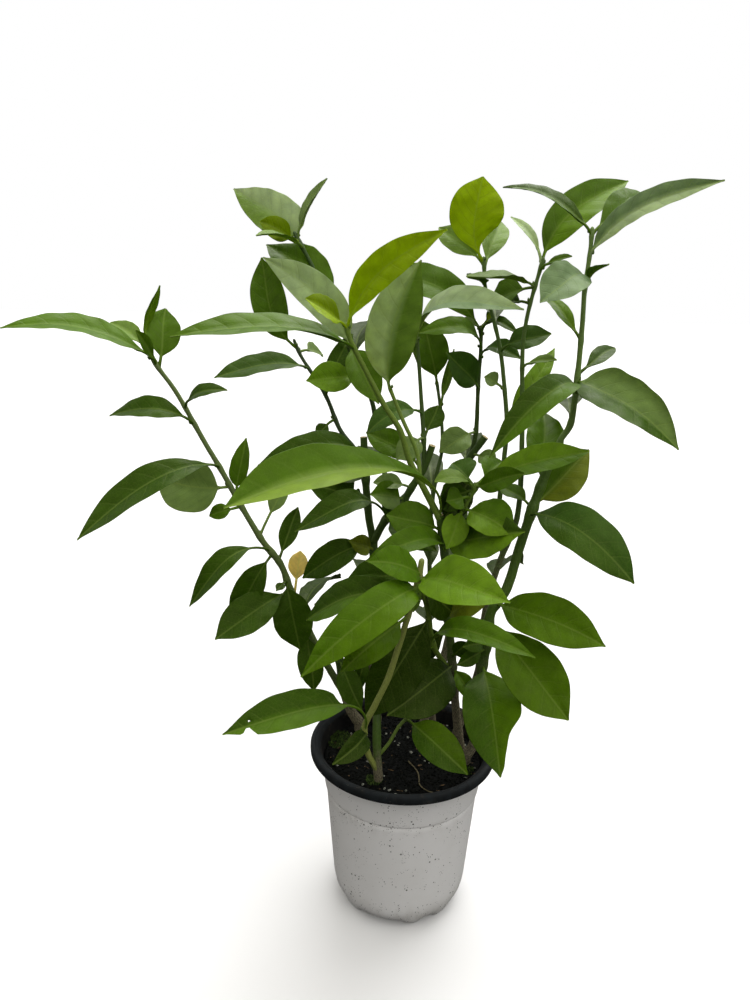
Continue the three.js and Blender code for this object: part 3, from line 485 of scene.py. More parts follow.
            leaf("upper_shoot", 0.57, (59, 44, 454), 16, 50, 0.1, "grey"),
            leaf("upper_shoot", 0.7, (107, 28, 490), 23, 50, 0.14, "blue"),
        ],
    },
    "cane_right": {
        "stems": {
            "trunk": ([(54, -9, 137), (60, -9, 150), (63, -9, 178), (63, -8, 218), (66, -8, 245),
                (68, -6, 269), (79, -4, 287), (89, 0, 325), (99, 2, 362), (110, 4, 398)], (4.4, 3.7)),
            "shoot": ([(106, 3, 388), (114, 0, 410), (120, -2, 422), (121, -6, 442), (121, -8, 465),
                (120, -12, 501), (119, -14, 522), (120, -16, 549), (120, -16, 563)], (2.6, 1.4)),
        },
        "leaves": [
            leaf("shoot", 0.9, (181, -80, 587), 21, 55, 0.07, "sage_sheen", sweep=-0.1, petiole=5, belly=0.85,
                near="silver_sheen"),
            leaf("shoot", 0.98, (176, 42, 593), 24, 50, 0.12, "mid"),
            leaf("shoot", 0.98, (60, 12, 594), 17, 30, 0.14, "dark", near="mid"),
            leaf("shoot", 0.8, (78, -62, 513), 30, 50, 0.2, "sage_sheen", belly=1.5),
            leaf("shoot", 0.78, (121, -60, 538), 11, 60, 0.1, "grey", near="mid"),
            leaf("shoot", 0.57, (99, 32, 518), 12, 50, 0.1, "bright", near="mid"),
            leaf("shoot", 0.43, (159, 30, 480), 14, 50, 0.1, "dark"),
            leaf("shoot", 0.35, (49, -72, 410), 23, 45, 0.3, "dark", near="mid"),
            leaf("shoot", 0.4, (177, -72, 418), 38, 47, 0.11, "grey", petiole=3, belly=0.78,
                near="dark", roll=("far", 0.4)),
            leaf("trunk", 0.84, (146, 30, 398), 32, 75, 0.05, "mid", belly=0.9, near="olive"),
            leaf("shoot", 0.22, (140, 92, 424), 28, -40, 0.15, "deep"),
            leaf("trunk", 0.9, (113, 62, 424), 30, 60, 0.1, "mid"),
            leaf("trunk", 0.83, (76, 32, 366), 16, 50, 0.1, "mid"),
            leaf("trunk", 0.81, (161, -62, 317), 38, 55, 0.28, "blue", belly=1.1, near="dark"),
            leaf("trunk", 0.52, (145, -62, 267), 38, 55, 0.15, "moss"),
            leaf("trunk", 0.46, (120, -72, 211), 44, 65, 0.12, "moss", belly=1.3),
            leaf("trunk", 0.32, (68, -92, 175), 45, 70, 0.12, "moss", twist=25, near="dark",
                bites=((1, 0.78, 0.45, 0.16),)),
            leaf("trunk", 0.38, (40, -28, 232), 13, 70, 0.1, "dark"),
            leaf("trunk", 0.4, (44, -28, 248), 13, 65, 0.1, "dark"),
        ],
    },
}

# Stems that end in an old cut, and stems whose green isn't the usual one.
CUT_STEMS = {
    ("cane_left", "trunk"), ("cane_back", "trunk"), ("cane_front", "trunk"), ("cane_pruned", "trunk"),
    ("cane_back", "fork"), ("cane_right", "trunk"), ("cane_middle", "trunk"),
}
STEM_TONES = {
    ("cane_left", "shoot"): (112, 132, 70),
    ("cane_back", "tall_shoot"): (64, 90, 34),
    ("cane_back", "left_shoot"): (58, 80, 34),
    ("cane_front", "shoot"): (142, 152, 76),
    ("cane_front", "low_shoot"): (104, 128, 48),
    ("cane_middle", "front_shoot"): (112, 138, 48),
    ("cane_middle", "right_shoot"): (104, 132, 40),
    ("cane_middle", "tall_shoot"): (124, 150, 58),
    ("cane_middle", "side_shoot"): (124, 150, 58),
    ("cane_right", "trunk"): (84, 114, 34),
    ("cane_right", "shoot"): (116, 144, 70),
    ("cane_slender", "trunk"): (100, 128, 58),
    ("cane_slender", "upper_shoot"): (100, 128, 58),
    ("cane_pruned", "shoot"): (76, 100, 38),
}


# ---- Curves and skins ----


def even_draws(seed):
    """Evenly spread numbers from 0 to 1, the same at every run."""
    state = seed
    while True:
        state = state * 16807 % 2147483647
        yield state / 2147483647


def unit(vectors):
    return vectors / np.linalg.norm(vectors, axis=-1, keepdims=True)


def smooth(value, low, high):
    """0 below low, 1 above high, and an even slope that eases between them."""
    share = np.clip((value - low) / (high - low), 0, 1)
    return share * share * (3 - 2 * share)


def eased_table(table, at):
    """A smooth line through a table of (place, value) that doesn't pass its highest value."""
    xs, ys = np.array(table, float).T
    slopes = np.diff(ys) / np.diff(xs)
    middle = np.where(slopes[1:] * slopes[:-1] > 0, (slopes[1:] + slopes[:-1]) / 2, 0)
    ends = np.concatenate([[slopes[0]], middle, [slopes[-1]]])
    k = np.clip(np.searchsorted(xs, at, side="right") - 1, 0, len(xs) - 2)
    width = xs[k + 1] - xs[k]
    t = (at - xs[k]) / width
    return (
        (2 * t**3 - 3 * t**2 + 1) * ys[k] + (t**3 - 2 * t**2 + t) * width * ends[k]
        + (3 * t**2 - 2 * t**3) * ys[k + 1] + (t**3 - t**2) * width * ends[k + 1]
    )


class Route:
    """A centripetal curve through a stem's points, read by share of its length."""

    def __init__(self, points, fineness=40):
        points = np.array(points, float)
        points = np.vstack([2 * points[0] - points[1], points, 2 * points[-1] - points[-2]])
        parts = []
        for a, b, c, d in zip(points, points[1:], points[2:], points[3:]):
            before, here, after = (np.linalg.norm(v) ** 0.5 for v in (b - a, c - b, d - c))
            leave = ((b - a) / before - (c - a) / (before + here) + (c - b) / here) * here
            reach = ((c - b) / here - (d - b) / (here + after) + (d - c) / after) * here
            t = np.linspace(0, 1, fineness, endpoint=False)[:, None]
            parts.append(
                (2 * t**3 - 3 * t**2 + 1) * b + (t**3 - 2 * t**2 + t) * leave
                + (3 * t**2 - 2 * t**3) * c + (t**3 - t**2) * reach
            )
        self.points = np.vstack([*parts, points[-2:-1]])
        steps = np.linalg.norm(np.diff(self.points, axis=0), axis=1)
        self.lengths = np.concatenate([[0], np.cumsum(steps)])
        self.length = self.lengths[-1]

    def at(self, share):
        place = np.asarray(share) * self.length
        return np.stack([np.interp(place, self.lengths, self.points[:, k]) for k in range(3)], -1)


class Skin:
    """Gathers the faces of one piece, with their finishes, maps and tones, before they become a mesh."""

    def __init__(self):
        self.points, self.faces, self.finishes, self.maps = [], [], [], []
        self.tones, self.ages = [], []
        self.count = 0

    def add(self, points, faces, finishes, maps, tone, age=0.0):
        """faces is one array of quads, or of triangles. maps gives each corner's place in the surface map
        and the vein map, and age is how woody a point is."""
        self.points.append(points)
        self.faces += (faces + self.count).tolist()
        self.finishes.append(np.broadcast_to(finishes, len(faces)))
        self.maps.append(maps.reshape(-1, 4))
        self.tones.append(np.broadcast_to(tone, (len(points), 3)))
        self.ages.append(np.broadcast_to(age, len(points)))
        self.count += len(points)

    def close(self, rim, centre, finish, tone, age, outward):
        """Fills a ring of points with a fan round a centre point, as faces of three corners."""
        count = len(rim)
        k = np.arange(count)
        ahead = (k + 1) % count
        pair = [k, ahead] if outward else [ahead, k]
        faces = np.stack([np.full(count, count), *pair], 1)
        turns = np.stack(pair, 1) * 2 * math.pi / count
        maps = np.zeros((count, 3, 4))
        maps[:, 1:, 0], maps[:, 1:, 1] = np.cos(turns), np.sin(turns)
        self.add(np.vstack([rim, centre]), faces, finish, maps, tone, age)

    def mesh(self, name, finishes):
        mesh = bpy.data.meshes.new(name)
        mesh.from_pydata((np.vstack(self.points) * MM).tolist(), [], self.faces)
        maps = np.vstack(self.maps)
        for map_name, columns in (("surface", maps[:, :2]), ("veins", maps[:, 2:])):
            layer = mesh.uv_layers.new(name=map_name)
            layer.uv.foreach_set("vector", np.ascontiguousarray(columns, "f").ravel())
        tones = np.hstack([np.vstack(self.tones), np.ones((self.count, 1))])
        mesh.attributes.new("tone", "FLOAT_COLOR", "POINT").data.foreach_set("color", tones.ravel())
        mesh.attributes.new("age", "FLOAT", "POINT").data.foreach_set("value", np.concatenate(self.ages))
        mesh.polygons.foreach_set("material_index", np.concatenate(self.finishes).astype("i"))
        mesh.polygons.foreach_set("use_smooth", np.ones(len(self.faces), bool))
        for finish in finishes:
            mesh.materials.append(finish)
        mesh.validate()
        mesh.update()
        return mesh


def ring_faces(stations, sides):
    """Quads between rings of equal count, and each face's (station, side)."""
    i, k = np.meshgrid(np.arange(stations - 1), np.arange(sides), indexing="ij")
    ahead = (k + 1) % sides
    faces = np.stack([i * sides + k, i * sides + ahead, (i + 1) * sides + ahead, (i + 1) * sides + k], -1)
    return faces.reshape(-1, 4), i.ravel(), k.ravel()


def placed(name, mesh, node):
    """A finished piece that stands for a node of the frame, hung from the root; the node, if given, is
    hidden.
    """
    piece = bpy.data.objects.new(name, mesh)
    bpy.context.collection.objects.link(piece)
    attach(piece, "root")
    if node:
        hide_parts(node)
    return piece


# ---- Stems ----

BARK, CUT_FACE, LEAF_FACE, LEAF_BACK = range(4)


def add_stem(skin, route, radii, joints, tone, wood, rooted, cut, draw):
    """A tapered stem with swollen leaf joints. wood is its woodiness at base and tip; a rooted stem goes
    straight down into the soil, and a cut one ends flat."""
    rings = max(6, round(route.length / STEM_STEP))
    shares = np.linspace(0, 1, rings + 1)
    centres = route.at(shares)
    radius = radii[0] + (radii[1] - radii[0]) * shares
    woody = wood[0] + (wood[1] - wood[0]) * shares
    for joint in joints:
        radius = radius * (1 + NODE_SWELL * np.exp(-(((shares - joint) * route.length / NODE_REACH) ** 2)))
    if rooted:
        down = np.arange(SOIL_TOP - CANE_DEPTH, centres[0][2], BURIED_STEP)
        buried = np.stack([np.full(len(down), centres[0][0]), np.full(len(down), centres[0][1]), down], 1)
        centres = np.vstack([buried, centres])
        radius = np.concatenate([np.full(len(down), radii[0]), radius])
        woody = np.concatenate([np.full(len(down), wood[0]), woody])
    if not cut:
        tip_way = unit(centres[-1] - centres[-2])
        dome = np.array(TIP_SHARES)
        centres = np.vstack([centres, centres[-1] + dome[:, None] * tip_way * radii[1] * TIP_REACH])
        radius = np.concatenate([radius, radii[1] * np.sqrt(1 - (dome * 0.98) ** 2)])
        woody = np.concatenate([woody, np.full(len(dome), wood[1])])
    ahead = unit(np.gradient(centres, axis=0))
    across = unit(np.cross(ahead[0], STEM_SKEW))
    angles = np.arange(STEM_SIDES) * 2 * math.pi / STEM_SIDES
    phases = [next(draw) * 2 * math.pi for _ in range(4)]
    placed_along = np.concatenate([[0], np.cumsum(np.linalg.norm(np.diff(centres, axis=0), axis=1))])
    points = np.empty((len(centres), STEM_SIDES, 3))
    for i, (centre, way) in enumerate(zip(centres, ahead)):
        across = unit(across - way * across.dot(way))
        upward = np.cross(way, across)
        at = placed_along[i]
        knobs = sum(
            share * np.sin(at / run + count * angles + phase)
            for (share, run, count), phase in zip(KNOBS, phases))
        share, run, count = FLUTES
        flutes = share * np.sin(count * angles + phases[2] + at / run)
        reach = radius[i] * (1 + knobs * (0.35 + 0.65 * woody[i]) + flutes)
        points[i] = centre + reach[:, None] * (
            np.cos(angles)[:, None] * across + np.sin(angles)[:, None] * upward)
    faces, i, k = ring_faces(len(centres), STEM_SIDES)
    maps = np.zeros((len(faces), 4, 4))
    maps[:, :, 0] = np.stack([k, k + 1, k + 1, k], 1) / STEM_SIDES
    maps[:, :, 1] = placed_along[np.stack([i, i, i + 1, i + 1], 1)] * MAP_SCALE
    age = np.repeat(woody, STEM_SIDES)
    skin.add(points.reshape(-1, 3), faces, BARK, maps, tone, age)
    skin.close(points[0], centres[0], BARK, tone, wood[0], outward=False)
    finish = CUT_FACE if cut else BARK
    lift = 0.0 if cut else radii[1] * 0.05
    skin.close(points[-1], centres[-1] + ahead[-1] * lift, finish, tone, wood[1], outward=True)


def add_bud(skin, place, way, size, tone):
    """A small pointed bud in the corner between a leaf and its stem."""
    shares = np.linspace(0, 1, 7)
    radius = size * BUD_GIRTH * np.sin(math.pi * shares**0.7 * 0.98 + 0.02)
    across = unit(np.cross(way, BUD_SKEW))
    upward = np.cross(way, across)
    angles = np.arange(BUD_SIDES) * 2 * math.pi / BUD_SIDES
    circle = np.cos(angles)[:, None] * across + np.sin(angles)[:, None] * upward
    points = place + shares[:, None, None] * way * size + radius[:, None, None] * circle
    faces, _, k = ring_faces(len(shares), BUD_SIDES)
    maps = np.zeros((len(faces), 4, 4))
    maps[:, :, 0] = np.stack([k, k + 1, k + 1, k], 1) / BUD_SIDES
    skin.add(points.reshape(-1, 3), faces, BARK, maps, tone, 0.0)
    skin.close(points[-1], place + way * size * 1.03, BARK, tone, 0.0, outward=True)
    skin.close(points[0], place, BARK, tone, 0.0, outward=False)


# ---- Leaves ----


def leaf_line(spec, root, chord, shares, blade, quirks):
    """A leaf's middle line, its ways across and up at each share, and the half that is nearer the front,
    as 1 or -1."""
    length = np.linalg.norm(chord)
    lean, side = math.radians(spec["lean"]), math.radians(spec["side"])
    facing = np.array([math.sin(side), -math.sin(lean) * math.cos(side), math.cos(lean) * math.cos(side)])
    along = chord / length
    rise = unit(facing - along * facing.dot(along))
    sideways = np.cross(along, rise)

    def middle(t):
        bow = length * np.sin(math.pi * np.clip(t, 0, 1) ** spec["crest"])
        swing = length * np.sin(2 * math.pi * t) * SWING
        return (
            root + chord * t[:, None]
            + rise * (spec["arch"] * bow + quirks[0] * swing)[:, None]
            + sideways * (spec["sweep"] * bow + quirks[1] * swing)[:, None]
        )

    ahead = unit(middle(shares + 0.01) - middle(shares - np.minimum(0.01, shares)))
    normals = unit(rise - ahead * (ahead @ rise)[:, None])
    across = np.cross(normals, ahead)
    twist = np.radians(spec["twist"] + EXTRA_TWIST * quirks[2]) * smooth(blade, 0.1, 1)
    turned_across = across * np.cos(twist)[:, None] + normals * np.sin(twist)[:, None]
    turned_normals = normals * np.cos(twist)[:, None] - across * np.sin(twist)[:, None]
    return middle(shares), turned_across, turned_normals, 1 if sideways[1] > 0 else -1


def leaf_halves(spec, length, petiole, shares, blade, quirks):
    """The half widths of a leaf at each share, on its halves 1 and -1, and of its blade before any bite."""
    outline = SMALL_BLADE_OUTLINE if spec["width"] < SMALL_WIDTH else BLADE_OUTLINE
    half = eased_table(outline, blade ** spec["belly"]) * spec["width"] / 2
    stalk = PETIOLE_HALF_WIDTH * (1 + PETIOLE_FLARE * np.exp(-shares * length / FLARE_REACH))
    stalk = stalk * (1 - MIDRIB_TAPER * smooth(blade, 0, 1))
    halves = {}
    for way in (1, -1):
        edge = half * (1 + UNEVEN_HALVES * quirks[3] * way)
        for bite_way, at, depth, reach in spec["bites"]:
            if bite_way == way:
                edge = edge * (1 - depth * np.exp(-(((blade - at) / reach) ** 4)))
        halves[way] = np.maximum(np.where(shares < petiole, 0, edge), stalk)
    return halves, half


def add_leaf(skin, spec, root, phase, draw):
    """A petiole and blade in one closed skin: folded along the midrib, waved at its edges, with sunk
    veins, a raised rib behind, and what the spec says of bites, holes and a rolled edge. root is its place
    on the stem, and phase is where its edges' wave starts."""
    chord = np.array(spec["tip"], float) - root
    length = np.linalg.norm(chord)
    petiole = min(spec["petiole"] / length, LONGEST_PETIOLE)
    stops = next(stops for width, stops in WAVE_STOPS.items() if spec["width"] < width)

    blade_rows = int(np.clip(length * (1 - petiole) / LEAF_STEP, *LEAF_ROWS))
    stalk_rows = max(4, int(length * petiole / PETIOLE_STEP))
    shares = np.concatenate([
        np.linspace(0, petiole, stalk_rows, endpoint=False), np.linspace(petiole, 1, blade_rows)])
    blade = np.clip((shares - petiole) / (1 - petiole), 0, 1)
    on_blade = smooth(shares, petiole * 0.75, petiole + 0.05)

    # How this leaf differs, from -1 to 1: swings of the line, twist, halves, fold, ripples and tone.
    quirks = [next(draw) * 2 - 1 for _ in range(8)]
    centres, across, normals, near_way = leaf_line(spec, root, chord, shares, blade, quirks)
    halves, half = leaf_halves(spec, length, petiole, shares, blade, quirks)

    # v runs over the blade from the edge of half 1 to the edge of half -1.
    v = np.cos(np.linspace(0, math.pi, LEAF_ACROSS))
    v = np.sign(v) * np.abs(v) ** 0.9
    width = np.where(v[None] >= 0, halves[1][:, None], halves[-1][:, None])
    reach = width * v[None]
    far = np.abs(v)[None]
    stop = np.interp(blade ** spec["belly"], stops, np.arange(1, len(stops) + 1))[:, None]
    turn = np.where(v >= 0, 0, HALF_LAG)[None]
    fold = spec["fold"] * (1 + 0.25 * quirks[4]) * on_blade[:, None]
    ripples = 3.5 + 2 * abs(quirks[5])
    ripple = EDGE_RIPPLE * np.sin(2 * math.pi * ripples * blade[:, None] + quirks[6] * 3 + 2.4 * turn)
    height = width * (
        fold * far**1.25 + on_blade[:, None] * (
            EDGE_WAVE * np.sin(phase + stop * WAVE_TURN + turn) * far**1.6 + ripple * far**2.2
            + 0.05 * np.sin(math.pi * far)))

    spacing = max(LEAST_VEIN_GAP, length * (1 - petiole) / VEIN_PAIRS)
    place = blade * length * (1 - petiole)
    distance = np.abs(reach)

    def vein_run(at, off, way):
        """The count of side veins out to a place on the blade; way is 1 on one half and -1 on the other."""
        curl = VEIN_CURL * off**2 / max(spec["width"] / 2, 1)
        return (at - VEIN_SLANT * off - curl) / spacing + np.where(way > 0, *VEIN_STARTS)

    run = vein_run(place[:, None], distance, np.where(v[None] >= 0, 1, -1))
    gap = np.abs(run - np.floor(run) - 0.5)
    soft = on_blade[:, None] * np.clip(1 - far**4, 0, 1)
    height = height - VEIN_RELIEF * soft * np.exp(-((gap / VEIN_SPREAD) ** 2)) * np.clip(distance / 2, 0, 1)
    height = height - MIDRIB_GROOVE * on_blade[:, None] * np.exp(-((distance / MIDRIB_SPREAD) ** 2))
    long_run, cross_run, slant_run = PUFF_RUNS
    puffs = np.sin(place[:, None] / long_run + 4 * quirks[2])
    puffs = puffs * np.sin(reach / cross_run + 3 * quirks[5] + place[:, None] / slant_run)
    height = height + PUFF * soft * puffs * np.clip(distance / 4, 0, 1)

    if spec["roll"]:
        rolled_way = near_way if spec["roll"][0] == "near" else -near_way
        over = np.where(v * rolled_way > ROLL_START, (far - ROLL_START) / (1 - ROLL_START), 0)
        turn_by = math.pi * spec["roll"][1] * np.sin(math.pi * np.clip(blade, 0.02, 0.98))[:, None] ** 0.6
        strip = width * (1 - ROLL_START)
        reach = reach + rolled_way * strip * (np.sin(turn_by * over) / turn_by - over)
        height = height + strip * (1 - np.cos(turn_by * over)) / turn_by

    rib = (PETIOLE_THICKNESS - LEAF_THICKNESS) * (1 - 0.8 * smooth(blade, 0, 0.9))[:, None]
    stalk_round = np.sqrt(np.clip(1 - v[None] ** 2, 0, 1))
    rib_width = np.maximum(RIB_HALF_WIDTHS[0] * (1 - 0.5 * blade[:, None]), RIB_HALF_WIDTHS[1])
    blade_thick = LEAF_THICKNESS + VEIN_THICKENING * np.exp(-((gap / 0.1) ** 2)) * soft
    blade_thick = blade_thick * np.clip((1 - far**8) * 1.4, 0, 1)
    thick = (
        (1 - on_blade)[:, None] * PETIOLE_THICKNESS * stalk_round
        + on_blade[:, None] * (blade_thick + rib * np.exp(-((distance / rib_width) ** 2)) * stalk_round)
    )
    round_top = (1 - on_blade)[:, None] * 0.5 * PETIOLE_THICKNESS * stalk_round
    upper = centres[:, None] + across[:, None] * reach[..., None]
    upper = upper + normals[:, None] * (height + round_top)[..., None]
    lower = upper - normals[:, None] * thick[..., None]
    points = np.concatenate([upper, lower[:, -2:0:-1]], axis=1)
    rows, sides = points.shape[:2]

    faces, i, k = ring_faces(rows, sides)
    columns = np.concatenate([np.arange(LEAF_ACROSS), np.arange(LEAF_ACROSS - 2, 0, -1)])
    # The half nearer the front takes the near tone: painted light and shade on that half of the blade.
    nearer = smooth(v[columns] * near_way, -0.06, 0.06)[None, :, None] * np.ones((rows, 1, 1))
    tones = [np.array(linear(*LEAF_TONES[name])) for name in (spec["tone"], spec["near"])]
    tone = ((1 - nearer) * tones[0] + nearer * tones[1]).reshape(-1, 3) * (1 + TONE_SPREAD * quirks[7])
    ends = np.stack([k, (k + 1) % sides, (k + 1) % sides, k], 1)
    stations = np.stack([i, i, i + 1, i + 1], 1)
    cols = columns[ends]
    way = np.where(v[cols].mean(axis=1, keepdims=True) >= 0, 1.0, -1.0)
    at = place[stations]
    off = distance[stations, cols]
    shift = MAP_SHIFT * (1 + quirks[0])
    maps = np.stack([
        (at + shift * 40) * MAP_SCALE, off * way * MAP_SCALE,
        vein_run(at, off, way) + np.round(shift * 3), off,
    ], -1)
    finishes = np.where(k < LEAF_ACROSS - 1, LEAF_FACE, LEAF_BACK)
    keep = np.ones(len(faces), bool)
    for hole in spec["holes"]:
        keep &= cut_hole(points, place, reach, half, *hole)
    if spec["holes"]:
        wall_faces = hole_walls(faces[~keep], sides)
        faces = np.vstack([faces[keep], wall_faces])
        maps = np.concatenate([maps[keep], np.zeros((len(wall_faces), 4, 4))])
        finishes = np.concatenate([finishes[keep], np.full(len(wall_faces), LEAF_BACK)])
    skin.add(points.reshape(-1, 3), faces, finishes, maps, tone, 0.0)
    skin.close(points[0], points[0].mean(axis=0), LEAF_BACK, tones[0], 0.0, outward=False)
    skin.close(points[-1], points[-1].mean(axis=0), LEAF_BACK, tones[0], 0.0, outward=True)


def cut_hole(mesh, place, reach, half, at_share, at_across, hole_radius):
    """Says which faces of a blade lie outside a hole, and moves the hole's corners onto its round outline."""
    rows, sides = mesh.shape[:2]
    columns = np.concatenate([np.arange(LEAF_ACROSS), np.arange(LEAF_ACROSS - 2, 0, -1)])
    row = int(np.argmin(np.abs(place / place[-1] - at_share)))
    here = np.stack([
        np.broadcast_to(place[:, None], (rows, sides)) - place[-1] * at_share,
        reach[:, columns] - at_across * half[row]], -1)
    away = np.linalg.norm(here, axis=-1)
    i, k = np.meshgrid(np.arange(rows - 1), np.arange(sides), indexing="ij")
    ahead = (k + 1) % sides
    corners = [(i, k), (i, ahead), (i + 1, ahead), (i + 1, k)]
    middle = np.linalg.norm(sum(here[a, b] for a, b in corners) / 4, axis=-1)
    inside = middle < max(hole_radius, middle.min() + 0.01)
    rim = np.zeros((rows, sides), bool)
    for flags in (inside, ~inside):
        touched = np.zeros((rows, sides), bool)
        for a, b in corners:
            np.logical_or.at(touched, (a, b), flags)
        rim = touched if flags is inside else rim & touched
    spots = here[rim] / np.maximum(away[rim], 1e-6)[:, None] * hole_radius - here[rim]
    lengthways = np.gradient(mesh, axis=0) / np.maximum(np.gradient(place), 1e-6)[:, None, None]
    crossways = np.zeros_like(mesh)
    crossways[:, 1:LEAF_ACROSS - 1] = (mesh[:, 2:LEAF_ACROSS] - mesh[:, :LEAF_ACROSS - 2]) / (
        reach[:, 2:] - reach[:, :-2])[..., None]
    for k_low in range(LEAF_ACROSS, sides):
        crossways[:, k_low] = crossways[:, columns[k_low]]
    mesh[rim] += lengthways[rim] * spots[:, :1] + crossways[rim] * spots[:, 1:]
    return ~inside.ravel()


def hole_walls(gone, sides):
    """Faces that join the blade's upper and lower skins round each hole, where the gone faces were."""
    removed = {tuple(face) for face in gone.tolist()}
    edges = set()
    for face in removed:
        for a, b in zip(face, face[1:] + face[:1]):
            edges.add((a, b))
    rim = [(a, b) for a, b in edges if (b, a) not in edges]

    def other_side(corner):
        row, column = divmod(corner, sides)
        return row * sides + (-column) % sides if column else corner

    return np.array([
        (a, b, other_side(b), other_side(a)) for a, b in rim
        if a % sides < LEAF_ACROSS and b % sides < LEAF_ACROSS and a % sides and b % sides
    ])


# ---- Pot and soil ----


def span_lift(angles):
    """How far the underside is lifted at each angle, between the feet."""
    nearest = np.full(np.shape(angles), 180.0)
    for pair in range(FOOT_PAIRS):
        for foot_angle in (-FOOT_SPREAD, FOOT_SPREAD):
            foot_place = FIRST_PAIR_ANGLE + pair * 360 / FOOT_PAIRS + foot_angle
            nearest = np.minimum(nearest, np.abs((angles - foot_place + 180) % 360 - 180))
    return smooth(nearest, FOOT_HALF_WIDTH * 0.4, FOOT_HALF_WIDTH * 1.4)


def foot(inset, fineness=14):
    """The rounded foot of the wall from the base up to the body, moved in by inset."""
    handles = np.array([
        (BASE_RADIUS, 0), (BASE_RADIUS + FOOT_PULL[0], FOOT_PULL[1]),
        (BODY_RADIUS - CORNER_PULL[0], CORNER_TOP - CORNER_PULL[1]), (BODY_RADIUS, CORNER_TOP)])
    t = np.linspace(0, 1, fineness)[:, None]
    curve = (
        (1 - t) ** 3 * handles[0] + 3 * (1 - t) ** 2 * t * handles[1]
        + 3 * (1 - t) * t**2 * handles[2] + t**3 * handles[3])
    ahead = unit(np.gradient(curve, axis=0))
    return [tuple(p) for p in curve + inset * np.stack([-ahead[:, 1], ahead[:, 0]], 1)]


def span_points(start, end, count):
    """Points on the straight line from start towards end, without the last."""
    return [
        (start[0] + (end[0] - start[0]) * k / count, start[1] + (end[1] - start[1]) * k / count)
        for k in range(count)
    ]


def lathed(name, profile, sides, finish_of, finishes, shape=None):
    """Turns a profile of (radius, height) round the axis, from pole to pole, and lifts the spans between
    the feet. finish_of gives the finish of the band that starts at each profile point."""
    angles = np.arange(sides) * 2 * math.pi / sides
    lift = SPAN_RAISE * span_lift(np.degrees(angles))
    points, bands = [], []
    for radius, height in profile:
        bands.append(len(points))
        if radius == 0:
            points.append((0, 0, height + (shape(0, 0) if shape and height > SOIL_TOP - 0.01 else 0)))
            continue
        inward = smooth(radius, SPAN_INNER_RADIUS, DRAIN_CIRCLE - DRAIN_RADIUS)
        raised = height + lift * inward * (1 - smooth(height, 0, SPAN_TOP))
        for angle, z in zip(angles, raised):
            x, y = radius * math.cos(angle), radius * math.sin(angle)
            points.append((x, y, z + (shape(x, y) if shape and height > SOIL_TOP - 0.01 else 0)))
    faces, finish = [], []
    for i, (low, high) in enumerate(zip(bands, bands[1:])):
        for k in range(sides):
            ahead = (k + 1) % sides
            if profile[i][0] == 0:
                faces.append((low, high + ahead, high + k))
            elif profile[i + 1][0] == 0:
                faces.append((low + k, low + ahead, high))
            else:
                faces.append((low + k, low + ahead, high + ahead, high + k))
            finish.append(finish_of(i))
    mesh = bpy.data.meshes.new(name)
    mesh.from_pydata((np.array(points) * MM).tolist(), [], faces)
    mesh.polygons.foreach_set("material_index", finish)
    mesh.polygons.foreach_set("use_smooth", [True] * len(faces))
    for material in finishes:
        mesh.materials.append(material)
    mesh.update()
    return mesh


